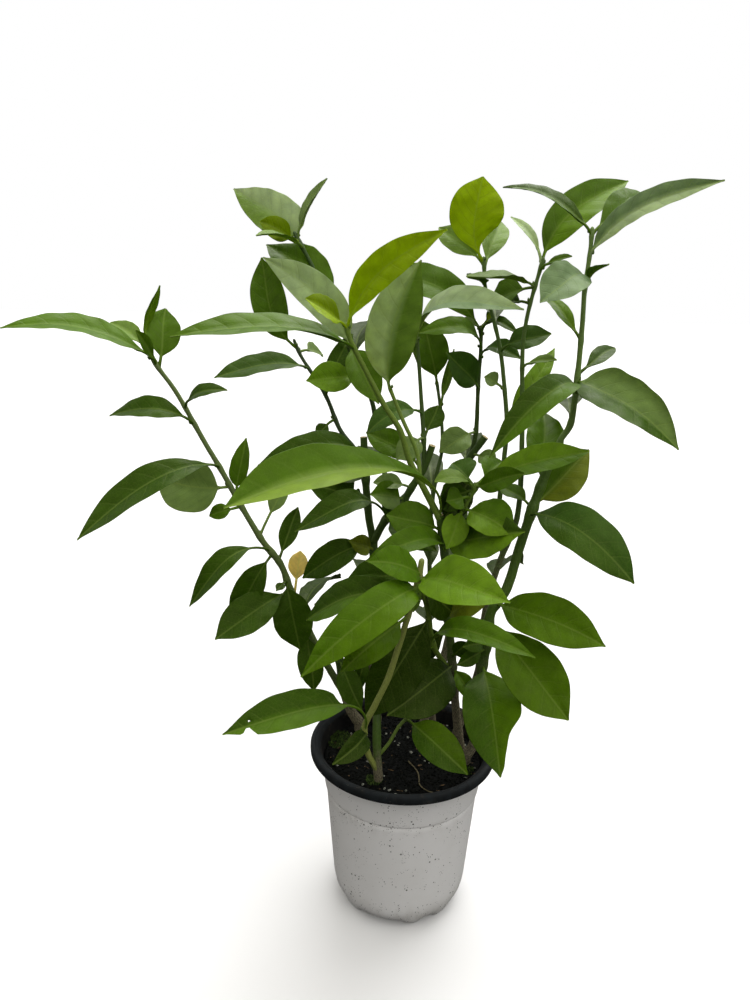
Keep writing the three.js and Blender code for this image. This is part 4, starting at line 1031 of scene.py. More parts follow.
def make_pot(white, charcoal, dark_inside):
    """The thin wall, with its ring, collar, rolled charcoal lip, feet and drain holes. The profile runs from
    the middle of the underside up the white face, over the lip and down the dark inside."""
    inner_ring, *outer_rings = BASE_RINGS
    base_radii = [
        0, SPAN_INNER_RADIUS * 0.5, SPAN_INNER_RADIUS, inner_ring, DRAIN_CIRCLE - DRAIN_RADIUS, *outer_rings]
    body_foot = foot(0)
    ring_top = (RING_RADIUS + RING_STEP - WALL, RING_HEIGHT + 0.8)
    white_side = [
        *[(radius, 0) for radius in base_radii], *body_foot[:-1],
        *span_points(body_foot[-1], (RING_RADIUS, RING_HEIGHT - 1), 16),
        (RING_RADIUS - 0.1, RING_HEIGHT - 1), (RING_RADIUS - 0.35, RING_HEIGHT - 0.35),
        (RING_RADIUS, RING_HEIGHT), (RING_RADIUS + RING_STEP - 0.3, RING_HEIGHT + 0.4),
        (RING_RADIUS + RING_STEP, RING_HEIGHT + 1.1),
        *span_points(
            (RING_RADIUS + RING_STEP + 0.1, RING_HEIGHT + 2), (COLLAR_RADIUS, POT_HEIGHT - LIP_START), 6),
    ]
    # How far a point of the lip lies out from its radius, and under the pot's top or over the lip's foot.
    lip_inside_turn = [(-3, 2.4), (-1.8, 2.9), (-1.4, 3.8)]
    lip_lower_edge = [(-1.25, 1), (-1.2, 0.3), (-0.8, 0), (-0.1, 0.1), (0.15, 0.8), (0.3, 3), (0.2, 5)]
    lip_roll = [
        (-0.2, 1.3), (-0.9, 0.5), (-2, 0.05), (-3.1, 0), (-3.7, 0.25), (-4, 0.8), (-4.7, 1.1), (-5.4, 1.3),
        (-6.1, 2),
    ]
    rolled_lip = [
        (COLLAR_RADIUS, POT_HEIGHT - LIP_START), (COLLAR_RADIUS + 0.8, POT_HEIGHT - 3.1),
        *[(LIP_RADIUS + out, POT_HEIGHT - down) for out, down in lip_inside_turn],
        *[(LIP_RADIUS + out, POT_HEIGHT - LIP_HEIGHT + up) for out, up in lip_lower_edge],
        *[(LIP_RADIUS + out, POT_HEIGHT - down) for out, down in lip_roll],
        (COLLAR_RADIUS - WALL, POT_HEIGHT - 4.4),
    ]
    dark_side = [
        *span_points((COLLAR_RADIUS - WALL - 0.1, POT_HEIGHT - 5), ring_top, 5),
        ring_top, (RING_RADIUS - WALL, RING_HEIGHT - 0.6),
        *foot(WALL)[::-1], *[(radius, WALL) for radius in base_radii[::-1]],
    ]
    lip_start, dark_start = len(white_side), len(white_side) + len(rolled_lip)

    def finish_of(band):
        return 0 if band < lip_start - 1 else 1 if band < dark_start - 1 else 2

    profile = white_side + rolled_lip + dark_side
    wall = lathed("pot_wall", profile, POT_SIDES, finish_of, [white, charcoal, dark_inside])
    holder = bpy.data.objects.new("pot_blank", wall)
    bpy.context.collection.objects.link(holder)
    cutters = []
    for pair in range(FOOT_PAIRS):
        angle = math.radians(FIRST_PAIR_ANGLE + (pair + 0.5) * 360 / FOOT_PAIRS)
        place = (DRAIN_CIRCLE * math.cos(angle) * MM, DRAIN_CIRCLE * math.sin(angle) * MM, 0)
        bpy.ops.mesh.primitive_cylinder_add(
            vertices=DRAIN_SIDES, radius=DRAIN_RADIUS * MM, depth=DRAIN_BORE * MM, location=place)
        cutters.append(bpy.context.object)
        bore = holder.modifiers.new("drain", "BOOLEAN")
        bore.operation, bore.solver, bore.object = "DIFFERENCE", "EXACT", cutters[-1]
    mesh = applied(holder, "pot_shell")
    for cutter in cutters:
        bpy.data.objects.remove(cutter)
    mesh.set_sharp_from_angle(angle=math.radians(SHARP_EDGE))
    return mesh


def applied(holder, name):
    """The plain mesh that an object's modifiers make. The object is removed."""
    depsgraph = bpy.context.evaluated_depsgraph_get()
    mesh = bpy.data.meshes.new_from_object(holder.evaluated_get(depsgraph), depsgraph=depsgraph)
    mesh.name = name
    bpy.data.objects.remove(holder)
    return mesh


def soil_height(x, y):
    """The soil's uneven top, above its level: the slow swell of the plain node, and crumbs over it."""
    swell = SOIL_BUMP * (math.sin(x / 9 + 1) * math.cos(y / 11) + 0.6 * math.sin((x + y) / 6))
    crumbs = CRUMB_BUMP * (
        math.sin(x / 1.9 + math.sin(y / 2.3) * 2) * math.cos(y / 1.7 + math.sin(x / 2.9) * 2))
    fine = FINE_BUMP * math.sin(x * 1.3 + y * 0.7) * math.sin(y * 1.1 - x * 0.4 + 2)
    return swell + crumbs + fine


def soil_edge():
    """The soil's radius at its top, where it stays clear of the leaning wall."""
    inset = WALL + SEAT_GAP
    slope = (COLLAR_RADIUS - RING_RADIUS - RING_STEP) / (POT_HEIGHT - LIP_START - RING_HEIGHT)
    return RING_RADIUS + RING_STEP + slope * (SOIL_TOP - RING_HEIGHT) - inset


def make_soil(finish):
    """The body of soil: the pot's hollow, filled to its level."""
    inset = WALL + SEAT_GAP
    edge = soil_edge()
    profile = [
        (0, inset), (SPAN_INNER_RADIUS, inset), (DRAIN_CIRCLE - DRAIN_RADIUS, inset), *foot(inset, 8),
        (RING_RADIUS - inset, RING_HEIGHT - 0.6), (RING_RADIUS + RING_STEP - inset, RING_HEIGHT + 1.4),
        (edge - 0.4, SOIL_TOP - 2), (edge - 1, SOIL_TOP - 0.5),
        *[(radius, SOIL_TOP) for radius in np.linspace(edge - 2, 1.2, SOIL_RINGS).tolist()], (0, SOIL_TOP),
    ]
    return lathed("soil_body", profile, SOIL_SIDES, lambda band: 0, [finish], soil_height)


def soil_patch(name, centre, radius, rings=16, sides=40):
    """A round piece of the soil's top, for things that lie on it."""
    points, faces = [(centre[0], centre[1], SOIL_TOP + soil_height(*centre))], []
    for i in range(1, rings + 1):
        for k in range(sides):
            angle = 2 * math.pi * k / sides
            x = centre[0] + radius * i / rings * math.cos(angle)
            y = centre[1] + radius * i / rings * math.sin(angle)
            points.append((x, y, SOIL_TOP + soil_height(x, y)))
            ahead = (k + 1) % sides
            if i == 1:
                faces.append((0, 1 + k, 1 + ahead))
            else:
                low, high = 1 + (i - 2) * sides, 1 + (i - 1) * sides
                faces.append((low + k, high + k, high + ahead, low + ahead))
    mesh = bpy.data.meshes.new(name)
    mesh.from_pydata((np.array(points) * MM).tolist(), [], faces)
    return mesh


def scatter_tree(name, grain):
    """A node tree that strews grains, a "blade" or a "chip" each, over a surface. Its inputs are the grains
    in a square metre, the least and greatest half sizes of a grain, how far it tilts, how far it is lifted
    off the surface, the seed and the finish."""
    tree = bpy.data.node_groups.new(name, "GeometryNodeTree")
    tree.interface.new_socket("Surface", in_out="INPUT", socket_type="NodeSocketGeometry")
    for label, kind in (
        ("Density", "NodeSocketFloat"), ("Least", "NodeSocketVector"), ("Greatest", "NodeSocketVector"),
        ("Tilt", "NodeSocketFloat"), ("Lift", "NodeSocketFloat"), ("Seed", "NodeSocketInt"),
        ("Finish", "NodeSocketMaterial"),
    ):
        tree.interface.new_socket(label, in_out="INPUT", socket_type=kind)
    tree.interface.new_socket("Grains", in_out="OUTPUT", socket_type="NodeSocketGeometry")
    add, join = tree.nodes.new, tree.links.new
    given, out = add("NodeGroupInput"), add("NodeGroupOutput")
    strew = add("GeometryNodeDistributePointsOnFaces")
    join(given.outputs["Surface"], strew.inputs["Mesh"])
    join(given.outputs["Density"], strew.inputs["Density"])
    join(given.outputs["Seed"], strew.inputs["Seed"])
    if grain == "blade":
        shape = add("GeometryNodeMeshCone")
        shape.inputs["Vertices"].default_value = 3
        shape.inputs["Radius Bottom"].default_value = 1
        shape.inputs["Depth"].default_value = 1
        solid = shape.outputs["Mesh"]
    else:
        shape = add("GeometryNodeMeshIcoSphere")
        shape.inputs["Radius"].default_value = 1
        shape.inputs["Subdivisions"].default_value = 1
        rough = add("GeometryNodeSetPosition")
        noise = add("ShaderNodeTexNoise")
        noise.inputs["Scale"].default_value = CHIP_ROUGHNESS
        centred = add("ShaderNodeVectorMath")
        centred.operation = "SUBTRACT"
        centred.inputs[1].default_value = (0.5, 0.5, 0.5)
        join(noise.outputs["Color"], centred.inputs[0])
        join(centred.outputs[0], rough.inputs["Offset"])
        join(shape.outputs["Mesh"], rough.inputs["Geometry"])
        solid = rough.outputs["Geometry"]
    place = add("GeometryNodeInstanceOnPoints")
    join(strew.outputs["Points"], place.inputs["Points"])
    join(solid, place.inputs["Instance"])
    size = add("FunctionNodeRandomValue")
    size.data_type = "FLOAT_VECTOR"
    join(given.outputs["Least"], size.inputs["Min"])
    join(given.outputs["Greatest"], size.inputs["Max"])
    join(size.outputs["Value"], place.inputs["Scale"])
    spin = add("FunctionNodeRandomValue")
    spin.data_type = "FLOAT_VECTOR"
    spin.inputs["Seed"].default_value = SPIN_SEED
    limit = add("ShaderNodeCombineXYZ")
    under = add("ShaderNodeVectorMath")
    under.operation = "SCALE"
    under.inputs["Scale"].default_value = -1
    join(given.outputs["Tilt"], limit.inputs["X"])
    join(given.outputs["Tilt"], limit.inputs["Y"])
    limit.inputs["Z"].default_value = math.pi
    join(limit.outputs[0], under.inputs[0])
    join(under.outputs[0], spin.inputs["Min"])
    join(limit.outputs[0], spin.inputs["Max"])
    join(spin.outputs["Value"], place.inputs["Rotation"])
    raised = add("GeometryNodeSetPosition")
    rise = add("ShaderNodeCombineXYZ")
    join(given.outputs["Lift"], rise.inputs["Z"])
    join(rise.outputs[0], raised.inputs["Offset"])
    real = add("GeometryNodeRealizeInstances")
    coat = add("GeometryNodeSetMaterial")
    join(place.outputs["Instances"], real.inputs[0])
    join(real.outputs[0], raised.inputs["Geometry"])
    join(raised.outputs["Geometry"], coat.inputs["Geometry"])
    join(given.outputs["Finish"], coat.inputs["Material"])
    join(coat.outputs["Geometry"], out.inputs[0])
    return tree


def strewn(name, tree, surface, **settings):
    """The plain mesh of the grains that a tree strews over a surface."""
    holder = bpy.data.objects.new(name, surface)
    bpy.context.collection.objects.link(holder)
    grow = holder.modifiers.new("strew", "NODES")
    grow.node_group = tree
    for socket in tree.interface.items_tree:
        if socket.in_out == "INPUT" and socket.name in settings:
            grow[socket.identifier] = settings[socket.name]
    return applied(holder, name)


# ---- Finishes ----


class Finish:
    """A material in the making, with short words for its nodes."""

    def __init__(self, name):
        self.material = bpy.data.materials.new(name)
        self.material.use_nodes = True
        self.nodes, self.links = self.material.node_tree.nodes, self.material.node_tree.links
        self.shader = self.nodes["Principled BSDF"]
        self.output = self.nodes["Material Output"]

    def put(self, socket, value):
        if isinstance(value, bpy.types.NodeSocket):
            self.links.new(value, socket)
        else:
            socket.default_value = value

    def coloured(self, value):
        """A socket as it is, or a colour with its fourth number."""
        return value if isinstance(value, bpy.types.NodeSocket) else (*value, 1)

    def object_place(self):
        return self.nodes.new("ShaderNodeTexCoord").outputs["Object"]

    def surface_map(self, name):
        node = self.nodes.new("ShaderNodeUVMap")
        node.uv_map = name
        return node.outputs["UV"]

    def value_of(self, name, output="Fac"):
        node = self.nodes.new("ShaderNodeAttribute")
        node.attribute_name = name
        return node.outputs[output]

    def parts(self, vector):
        node = self.nodes.new("ShaderNodeSeparateXYZ")
        self.put(node.inputs[0], vector)
        return node.outputs

    def stretched(self, vector, scale):
        node = self.nodes.new("ShaderNodeMapping")
        self.put(node.inputs["Vector"], vector)
        node.inputs["Scale"].default_value = scale
        return node.outputs[0]

    def noise(self, vector, scale, detail=3, roughness=0.55, warp=0):
        node = self.nodes.new("ShaderNodeTexNoise")
        self.put(node.inputs["Vector"], vector)
        settings = {"Scale": scale, "Detail": detail, "Roughness": roughness, "Distortion": warp}
        for label, value in settings.items():
            node.inputs[label].default_value = value
        return node.outputs["Fac"]

    def cells(self, vector, scale, feature="F1"):
        node = self.nodes.new("ShaderNodeTexVoronoi")
        node.feature = feature
        self.put(node.inputs["Vector"], vector)
        node.inputs["Scale"].default_value = scale
        return node.outputs["Distance"]

    def math(self, operation, a, b=0.0):
        node = self.nodes.new("ShaderNodeMath")
        node.operation = operation
        self.put(node.inputs[0], a)
        self.put(node.inputs[1], b)
        return node.outputs[0]

    def scaled(self, value, factor):
        return self.math("MULTIPLY", value, factor)

    def between(self, value, low, high, start=0.0, end=1.0):
        """start where value is below low, end above high, eased between."""
        node = self.nodes.new("ShaderNodeMapRange")
        node.interpolation_type = "SMOOTHSTEP"
        self.put(node.inputs["Value"], value)
        for label, number in (("From Min", low), ("From Max", high), ("To Min", start), ("To Max", end)):
            node.inputs[label].default_value = number
        return node.outputs["Result"]

    def blend(self, factor, a, b, kind="MIX"):
        node = self.nodes.new("ShaderNodeMix")
        node.data_type, node.blend_type = "RGBA", kind
        self.put(node.inputs["Factor"], factor)
        first_colour, second_colour, mixed_colour = node.inputs[6], node.inputs[7], node.outputs[2]
        self.put(first_colour, self.coloured(a))
        self.put(second_colour, self.coloured(b))
        return mixed_colour

    def bump(self, height, distance, strength=1.0, under=None):
        node = self.nodes.new("ShaderNodeBump")
        self.put(node.inputs["Height"], height)
        node.inputs["Distance"].default_value = distance
        node.inputs["Strength"].default_value = strength
        if under:
            self.put(node.inputs["Normal"], under)
        return node.outputs["Normal"]

    def finish(self, colour, roughness, normal=None, specular=0.5, glow_through=None, sheen=(1, 1, 1)):
        """Sets the shader and gives the material. glow_through is the share and colour of the light that
        comes through a leaf, and sheen is the tint of its gloss."""
        self.put(self.shader.inputs["Base Color"], self.coloured(colour))
        self.put(self.shader.inputs["Roughness"], roughness)
        self.shader.inputs["Specular IOR Level"].default_value = specular
        self.shader.inputs["Specular Tint"].default_value = (*sheen, 1)
        if normal:
            self.put(self.shader.inputs["Normal"], normal)
        if glow_through:
            share, tint = glow_through
            through = self.nodes.new("ShaderNodeBsdfTranslucent")
            self.put(through.inputs["Color"], tint)
            if normal:
                self.put(through.inputs["Normal"], normal)
            both = self.nodes.new("ShaderNodeMixShader")
            both.inputs[0].default_value = share
            self.links.new(self.shader.outputs[0], both.inputs[1])
            self.links.new(through.outputs[0], both.inputs[2])
            self.links.new(both.outputs[0], self.output.inputs["Surface"])
        return self.material


LEAF_SHEEN = (0.86, 1.0, 0.36)
# How far the ribs show in a face's colour, the relief of its side veins, and the range of its roughness.
FACE_LOOKS = {
    "leaf_face": {"side_vein": 0.13, "midrib": 0.36, "relief": -0.28, "roughness": (0.3, 0.5)},
    "leaf_back": {"side_vein": 0.4, "midrib": 0.8, "relief": 0.5, "roughness": (0.5, 0.68)},
}


def leaf_finish(name):
    """Upper or under face of a leaf: side veins and a fine net, paler ribs, painted shade along the sunk
    veins of the upper face, mottling, specks and sheen.
    """
    f = Finish(name)
    looks = FACE_LOOKS[name]
    blade = f.surface_map("surface")
    veins = f.parts(f.surface_map("veins"))
    tone = f.value_of("tone", "Color")
    away = f.math("ABSOLUTE", f.math("SUBTRACT", f.math("FRACT", veins["X"]), 0.5))
    fade = f.between(veins["Y"], 1.5, 14, 1.0, 0.35)
    side_vein = f.math("MULTIPLY", f.between(away, 0.012, 0.075, 1.0, 0.0), fade)
    # The band of painted shade round each sunk side vein.
    vein_groove_shade = f.between(away, 0.02, 0.3, 1.0, 0.0)
    midrib = f.between(veins["Y"], 0.35, 0.95, 1.0, 0.0)
    net = f.between(f.cells(blade, 4.2, "DISTANCE_TO_EDGE"), 0.0, 0.07, 1.0, 0.0)
    mottle = f.noise(blade, 0.9, 4, 0.6)
    grain = f.noise(blade, 26, 3, 0.6)
    base = f.blend(f.between(mottle, 0.3, 0.7), f.blend(1.0, tone, (0.88, 0.88, 0.9), "MULTIPLY"),
                   f.blend(1.0, tone, (1.12, 1.1, 1.1), "MULTIPLY"))
    if name == "leaf_back":
        base = f.blend(0.4, base, paint("leaf_back"))
    else:
        # Painted shade: the upper face darkens towards a near-black green along its sunk side veins.
        base = f.blend(f.scaled(vein_groove_shade, 0.07), base, (0, 0.004, 0))
    rib_colour = f.blend(0.5, tone, paint("rib"))
    base = f.blend(f.scaled(net, 0.12), base, rib_colour)
    base = f.blend(f.scaled(side_vein, looks["side_vein"]), base, rib_colour)
    base = f.blend(f.scaled(midrib, looks["midrib"]), base, rib_colour)
    speck = f.between(f.cells(blade, 1.15), 0.018, 0.035, 1.0, 0.0)
    base = f.blend(f.scaled(speck, 0.7), base, paint("speck"))
    height = f.math("ADD", f.scaled(side_vein, looks["relief"]), f.scaled(net, 0.1))
    height = f.math("ADD", height, f.scaled(grain, 0.12))
    normal = f.bump(height, 0.0005, 0.7)
    roughness = f.between(f.math("ADD", mottle, f.scaled(grain, 0.3)), 0.3, 1.0, *looks["roughness"])
    tint = f.blend(0.75, base, f.blend(1.0, base, (2.6, 2.2, 0.7), "MULTIPLY"))
    return f.finish(base, roughness, normal, 0.28, (0.24, tint), LEAF_SHEEN)


def bark_finish():
    """Green young stems that turn to speckled grey-brown wood with age."""
    f = Finish("bark")
    skin = f.surface_map("surface")
    tone = f.value_of("tone", "Color")
    age = f.value_of("age")
    wrap = f.stretched(skin, (3.0, 1.0, 1.0))
    patch = f.noise(wrap, 2.2, 4, 0.6)
    grain = f.noise(f.stretched(skin, (14.0, 2.5, 1.0)), 2.0, 4, 0.6)
    uneven_age = f.math("ADD", age, f.scaled(f.math("SUBTRACT", patch, 0.5), 0.7))
    woodiness = f.between(uneven_age, 0.25, 0.75)
    green = f.blend(f.between(grain, 0.3, 0.75), f.blend(1.0, tone, (0.75, 0.78, 0.75), "MULTIPLY"),
                    f.blend(1.0, tone, (1.3, 1.25, 1.3), "MULTIPLY"))
    wood = f.blend(f.between(grain, 0.32, 0.7), paint("dark_wood"), paint("pale_wood"))
    wood = f.blend(f.between(patch, 0.45, 0.75, 0.0, 0.45), wood, paint("mossy_wood"))
    base = f.blend(woodiness, green, wood)
    pore = f.between(f.cells(f.stretched(skin, (7.0, 3.2, 1.0)), 1.5), 0.08, 0.16, 1.0, 0.0)
    pore_share = f.math("MULTIPLY", pore, f.between(age, 0.1, 0.6, 0.25, 0.75))
    base = f.blend(pore_share, base, paint("bark_pore"))
    height = f.math("ADD", f.scaled(grain, 0.8), f.scaled(pore, 0.6))
    normal = f.bump(height, 0.0006, 0.8)
    roughness = f.between(f.math("ADD", woodiness, f.scaled(grain, 0.3)), 0.1, 1.1, 0.42, 0.85)
    return f.finish(base, roughness, normal, 0.4)


def cut_finish():
    """A dried cut through a stem: rings of tan wood round a darker pith."""
    f = Finish("cut_wood")
    face = f.surface_map("surface")
    across = f.nodes.new("ShaderNodeVectorMath")
    across.operation = "LENGTH"
    f.put(across.inputs[0], face)
    from_middle = across.outputs["Value"]
    grain = f.noise(face, 6, 4)
    base = f.blend(f.between(grain, 0.3, 0.7), paint("dark_cut"), paint("pale_cut"))
    base = f.blend(f.between(from_middle, 0.16, 0.3, 0.8, 0.0), base, paint("pith"))
    base = f.blend(f.between(from_middle, 0.8, 0.97, 0.0, 0.8), base, paint("cut_edge"))
    return f.finish(base, 0.8, f.bump(grain, 0.0004, 0.6), 0.3)


# Heights on the pot, in metres, between which soil dust gathers or fades: under its ring, over its ring
# and at its feet.
RING_DUST, OVER_RING_DUST, FEET_DUST = (0.094, 0.107), (0.109, 0.114), (0.004, 0.034)
# Grit on the white wall: cells in a metre, a grain's share of its cell, and how rare it is.
GRIT = ((95, 0.1, 0.6), (170, 0.15, 0.57), (330, 0.2, 0.56), (620, 0.22, 0.55))


def pot_finish():
    """White moulded plastic, dulled by handling, with dark soil grit and smears about its ring and feet."""
    f = Finish("white_plastic")
    place = f.object_place()
    height = f.parts(place)["Z"]
    smudge = f.noise(place, 26, 5, 0.6)
    fine = f.noise(place, 900, 2)
    drips = f.noise(f.stretched(place, (1.0, 1.0, 0.16)), 120, 4, 0.6)
    base = f.blend(f.between(smudge, 0.35, 0.75), paint("white"), paint("dull_white"))
    under_ring = f.between(height, *RING_DUST)
    near_ring = f.math("MULTIPLY", under_ring, f.between(height, *OVER_RING_DUST, 1.0, 0.0))
    near_feet = f.between(height, *FEET_DUST, 1.0, 0.0)
    soiled = f.math("MAXIMUM", f.scaled(near_ring, 0.7), near_feet)
    dust = f.math("MULTIPLY", soiled, f.between(f.math("MULTIPLY", smudge, drips), 0.16, 0.4))
    base = f.blend(f.scaled(dust, 0.4), base, paint("wall_dust"))
    for scale, size, rarity in GRIT:
        grain = f.between(f.cells(place, scale), size * 0.55, size, 1.0, 0.0)
        gathered = f.math("ADD", f.noise(place, scale * 0.22, 2), f.scaled(soiled, 0.14))
        chance = f.between(gathered, rarity, rarity + 0.04)
        base = f.blend(f.math("MULTIPLY", grain, chance), base, paint("wall_grit"))
    normal = f.bump(f.math("ADD", fine, f.scaled(smudge, 2.0)), 0.00012, 0.5)
    roughness = f.between(smudge, 0.3, 0.8, 0.34, 0.52)
    return f.finish(base, roughness, normal, 0.5)


def rim_finish(name, dust_share):
    """Charcoal moulded plastic with scuffs and a little soil dust."""
    f = Finish(name)
    dark, pale = (linear(*tone) for tone in BLENDS[name])
    place = f.object_place()
    scuff = f.noise(f.stretched(place, (1.0, 1.0, 0.3)), 180, 5, 0.65)
    base = f.blend(f.between(scuff, 0.35, 0.72), dark, pale)
    dust = f.between(f.noise(place, 90, 4, 0.6), 0.52, 0.72)
    base = f.blend(f.math("MULTIPLY", dust, dust_share), base, paint("rim_dust"))
    grit = f.math("MULTIPLY", f.between(f.cells(place, 420), 0.07, 0.12, 1.0, 0.0),
                  f.between(f.noise(place, 70, 2), 0.55, 0.62))
    base = f.blend(f.scaled(grit, 0.6), base, paint("rim_grit"))
    normal = f.bump(f.noise(place, 800, 2), 0.0001, 0.5)
    return f.finish(base, f.between(scuff, 0.3, 0.8, 0.68, 0.85), normal, 0.25)


def soil_finish(name):
    """Moist peat: black-brown with finer, paler fibres."""
    f = Finish(name)
    dark, pale = (linear(*tone) for tone in BLENDS[name])
    place = f.object_place()
    lump = f.noise(place, 260, 5, 0.65)
    fibre = f.noise(f.stretched(place, (1.0, 0.3, 1.0)), 700, 4, 0.6, 0.4)
    base = f.blend(f.between(lump, 0.38, 0.72), dark, pale)
    base = f.blend(f.between(fibre, 0.62, 0.76, 0.0, 0.6), base, paint("peat_fibre"))
    normal = f.bump(f.math("ADD", lump, f.scaled(fibre, 0.5)), 0.0015, 0.9)
    return f.finish(base, f.between(lump, 0.3, 0.8, 0.75, 1.0), normal, 0.12)


def grain_finish(name, scale, rough):
    """A finish of two colours mixed in small grains, for perlite, bark chips, moss and roots."""
    f = Finish(name)
    dark, pale = (linear(*tone) for tone in BLENDS[name])
    place = f.object_place()
    grain = f.noise(place, scale, 4, 0.6)
    base = f.blend(f.between(grain, 0.35, 0.7), dark, pale)
    return f.finish(base, rough, f.bump(grain, 0.0006, 0.8), 0.3)


# ---- The piece: pot, soil and canes ----

white_plastic = pot_finish()
charcoal_rim = rim_finish("charcoal_rim", 0.1)
black_inside = rim_finish("black_inside", 0.5)
peat, crumb_peat = soil_finish("peat"), soil_finish("crumb_peat")
perlite = grain_finish("perlite", 900, 0.8)
bark_chip = grain_finish("bark_chip", 700, 0.85)
moss_green = grain_finish("moss_green", 500, 0.8)
root_tan = grain_finish("root_tan", 600, 0.75)
cane_finishes = [bark_finish(), cut_finish(), leaf_finish("leaf_face"), leaf_finish("leaf_back")]

placed("pot_shell", make_pot(white_plastic, charcoal_rim, black_inside), "pot")
placed("soil_body", make_soil(peat), "soil")

# How far from the soil's edge the grains end, and what is strewn there: grains in a square metre, their
# least and greatest half sizes, tilt, lift and seed.
STREWN_GAP = 3.5
STREWN = {
    "soil_crumbs": (150000, (0.5, 0.5, 0.35), (1.9, 1.6, 1.2), 1.0, -0.1, 3, crumb_peat),
    "perlite_grains": (2600, (0.6, 0.6, 0.5), (1.9, 1.6, 1.4), 1.2, 0.3, 11, perlite),
    "bark_chips": (3600, (0.4, 0.3, 0.25), (3.4, 0.9, 0.5), 0.35, 0.3, 23, bark_chip),
}
# Patches of moss, as (x, y, radius), and the same facts of their blades, whose seeds follow one on another.
MOSS_PATCHES = [(-55, 28, 10), (-57, 16, 8), (-24, -38, 7), (55, -20, 5)]
MOSS_BLADES = (2600000, (0.16, 0.16, 1.0), (0.34, 0.34, 2.6), 0.7, 0.0)
MOSS_SEED = 40


def strew(name, tree, surface, density, least, greatest, tilt, lift, seed, finish):
    """Strews grains of millimetre sizes over a surface, as one piece of the soil."""
    grains = strewn(
        name, tree, surface, Density=density, Least=[v * MM for v in least],
        Greatest=[v * MM for v in greatest], Tilt=tilt, Lift=lift * MM, Seed=seed, Finish=finish)
    placed(name, grains, None)


chip_tree, blade_tree = scatter_tree("strewn_chips", "chip"), scatter_tree("strewn_blades", "blade")
soil_face = soil_patch("soil_face", (0, 0), soil_edge() - STREWN_GAP, 30, 72)
for name, facts in STREWN.items():
    strew(name, chip_tree, soil_face.copy(), *facts)
for number, (x, y, radius) in enumerate(MOSS_PATCHES, 1):
    bed = soil_patch("moss_bed", (x, y), radius, 6, 20)
    strew(f"moss_{number}", blade_tree, bed, *MOSS_BLADES, MOSS_SEED + number, moss_green)

# A loose root lies over the soil at the front: its way in plan, and its thickness at each end.
LOOSE_ROOT = [(5, -10), (12, -22), (13, -32), (13, -42), (19, -51), (27, -53)]
ROOT_RADII = (0.65, 0.4)
root_run = Route([(x, y, SOIL_TOP + soil_height(x, y) + ROOT_RADII[0]) for x, y in LOOSE_ROOT])
root_skin = Skin()
add_stem(
    root_skin, root_run, ROOT_RADII, [], linear(*ROOT_TONE), (0.0, 0.0), rooted=False, cut=False,
    draw=even_draws(ROOT_SEED))
placed("loose_root", root_skin.mesh("loose_root", [root_tan] * 4), None)

# How woody a stem is at its base and tip, from 0, green, to 1, and two trunks that differ.
WOODY_TRUNK, WOODY_SHOOT = (1.0, -0.25), (0.3, -0.1)
WOODY = {"cane_right": (0.95, -0.7), "cane_front": (0.8, -0.4)}
# A bud's place over its leaf's root: out from the stem and along it.
BUD_OUT, BUD_UP = 1.6, 1.2
# The share of a stem, before and after a leaf, over which its way is read.
WAY_REACH = 0.02
waves, fine_draws = even_draws(WAVE_SEED), even_draws(FORM_SEED)
for cane_name, cane in CANES.items():
    skin = Skin()
    routes = {name: Route(points) for name, (points, _) in cane["stems"].items()}
    for name, (_, radii) in cane["stems"].items():
        joints = [one["share"] for one in cane["leaves"] if one["stem"] == name]
        wood = WOODY.get(cane_name, WOODY_TRUNK) if name == "trunk" else WOODY_SHOOT
        tone = linear(*STEM_TONES.get((cane_name, name), STEM_GREEN))
        cut = (cane_name, name) in CUT_STEMS
        add_stem(skin, routes[name], radii, joints, tone, wood, name == "trunk", cut, fine_draws)
    for one in cane["leaves"]:
        route = routes[one["stem"]]
        root = route.at(one["share"])
        add_leaf(skin, one, root, 2 * math.pi * next(waves), fine_draws)
        way = unit(route.at(min(1, one["share"] + WAY_REACH)) - route.at(one["share"] - WAY_REACH))
        out_way = unit(np.array(one["tip"], float) - root)
        out_way = unit(out_way - way * way.dot(out_way))
        bud_place = root + out_way * BUD_OUT + way * BUD_UP
        add_bud(skin, bud_place, unit(way + 0.5 * out_way), BUD_SIZE, linear(*BUD_GREEN))
    placed(f"{cane_name}_foliage", skin.mesh(f"{cane_name}_foliage", cane_finishes), cane_name)

# ---- Stage ----

FLOOR_REACH = 30
# The studio's brightness from straight down, 0, to straight up, 1.
SKY_STOPS = ((0.0, 0.05), (0.4, 0.08), (0.55, 0.3), (0.75, 0.78), (1.0, 1.05))
# A broad soft light from above and behind, to the right, and a weak one from the front: strength, (tilt from
# straight down, compass turn) and spread in degrees.
SUNS = {"sky_light": (2.3, (-28, -25), 50), "front_light": (0.62, (54, 42), 60)}

floor_mesh = bpy.data.meshes.new("floor")
floor_corners = [(x * FLOOR_REACH, y * FLOOR_REACH, 0) for x, y in ((-1, -1), (1, -1), (1, 1), (-1, 1))]
floor_mesh.from_pydata(floor_corners, [], [(0, 1, 2, 3)])
floor_finish = Finish("pale_floor")
floor_mesh.materials.append(floor_finish.finish((0.86, 0.86, 0.86), 0.9, None, 0.1))
floor = bpy.data.objects.new("floor", floor_mesh)
bpy.context.collection.objects.link(floor)
floor.visible_diffuse = floor.visible_glossy = False

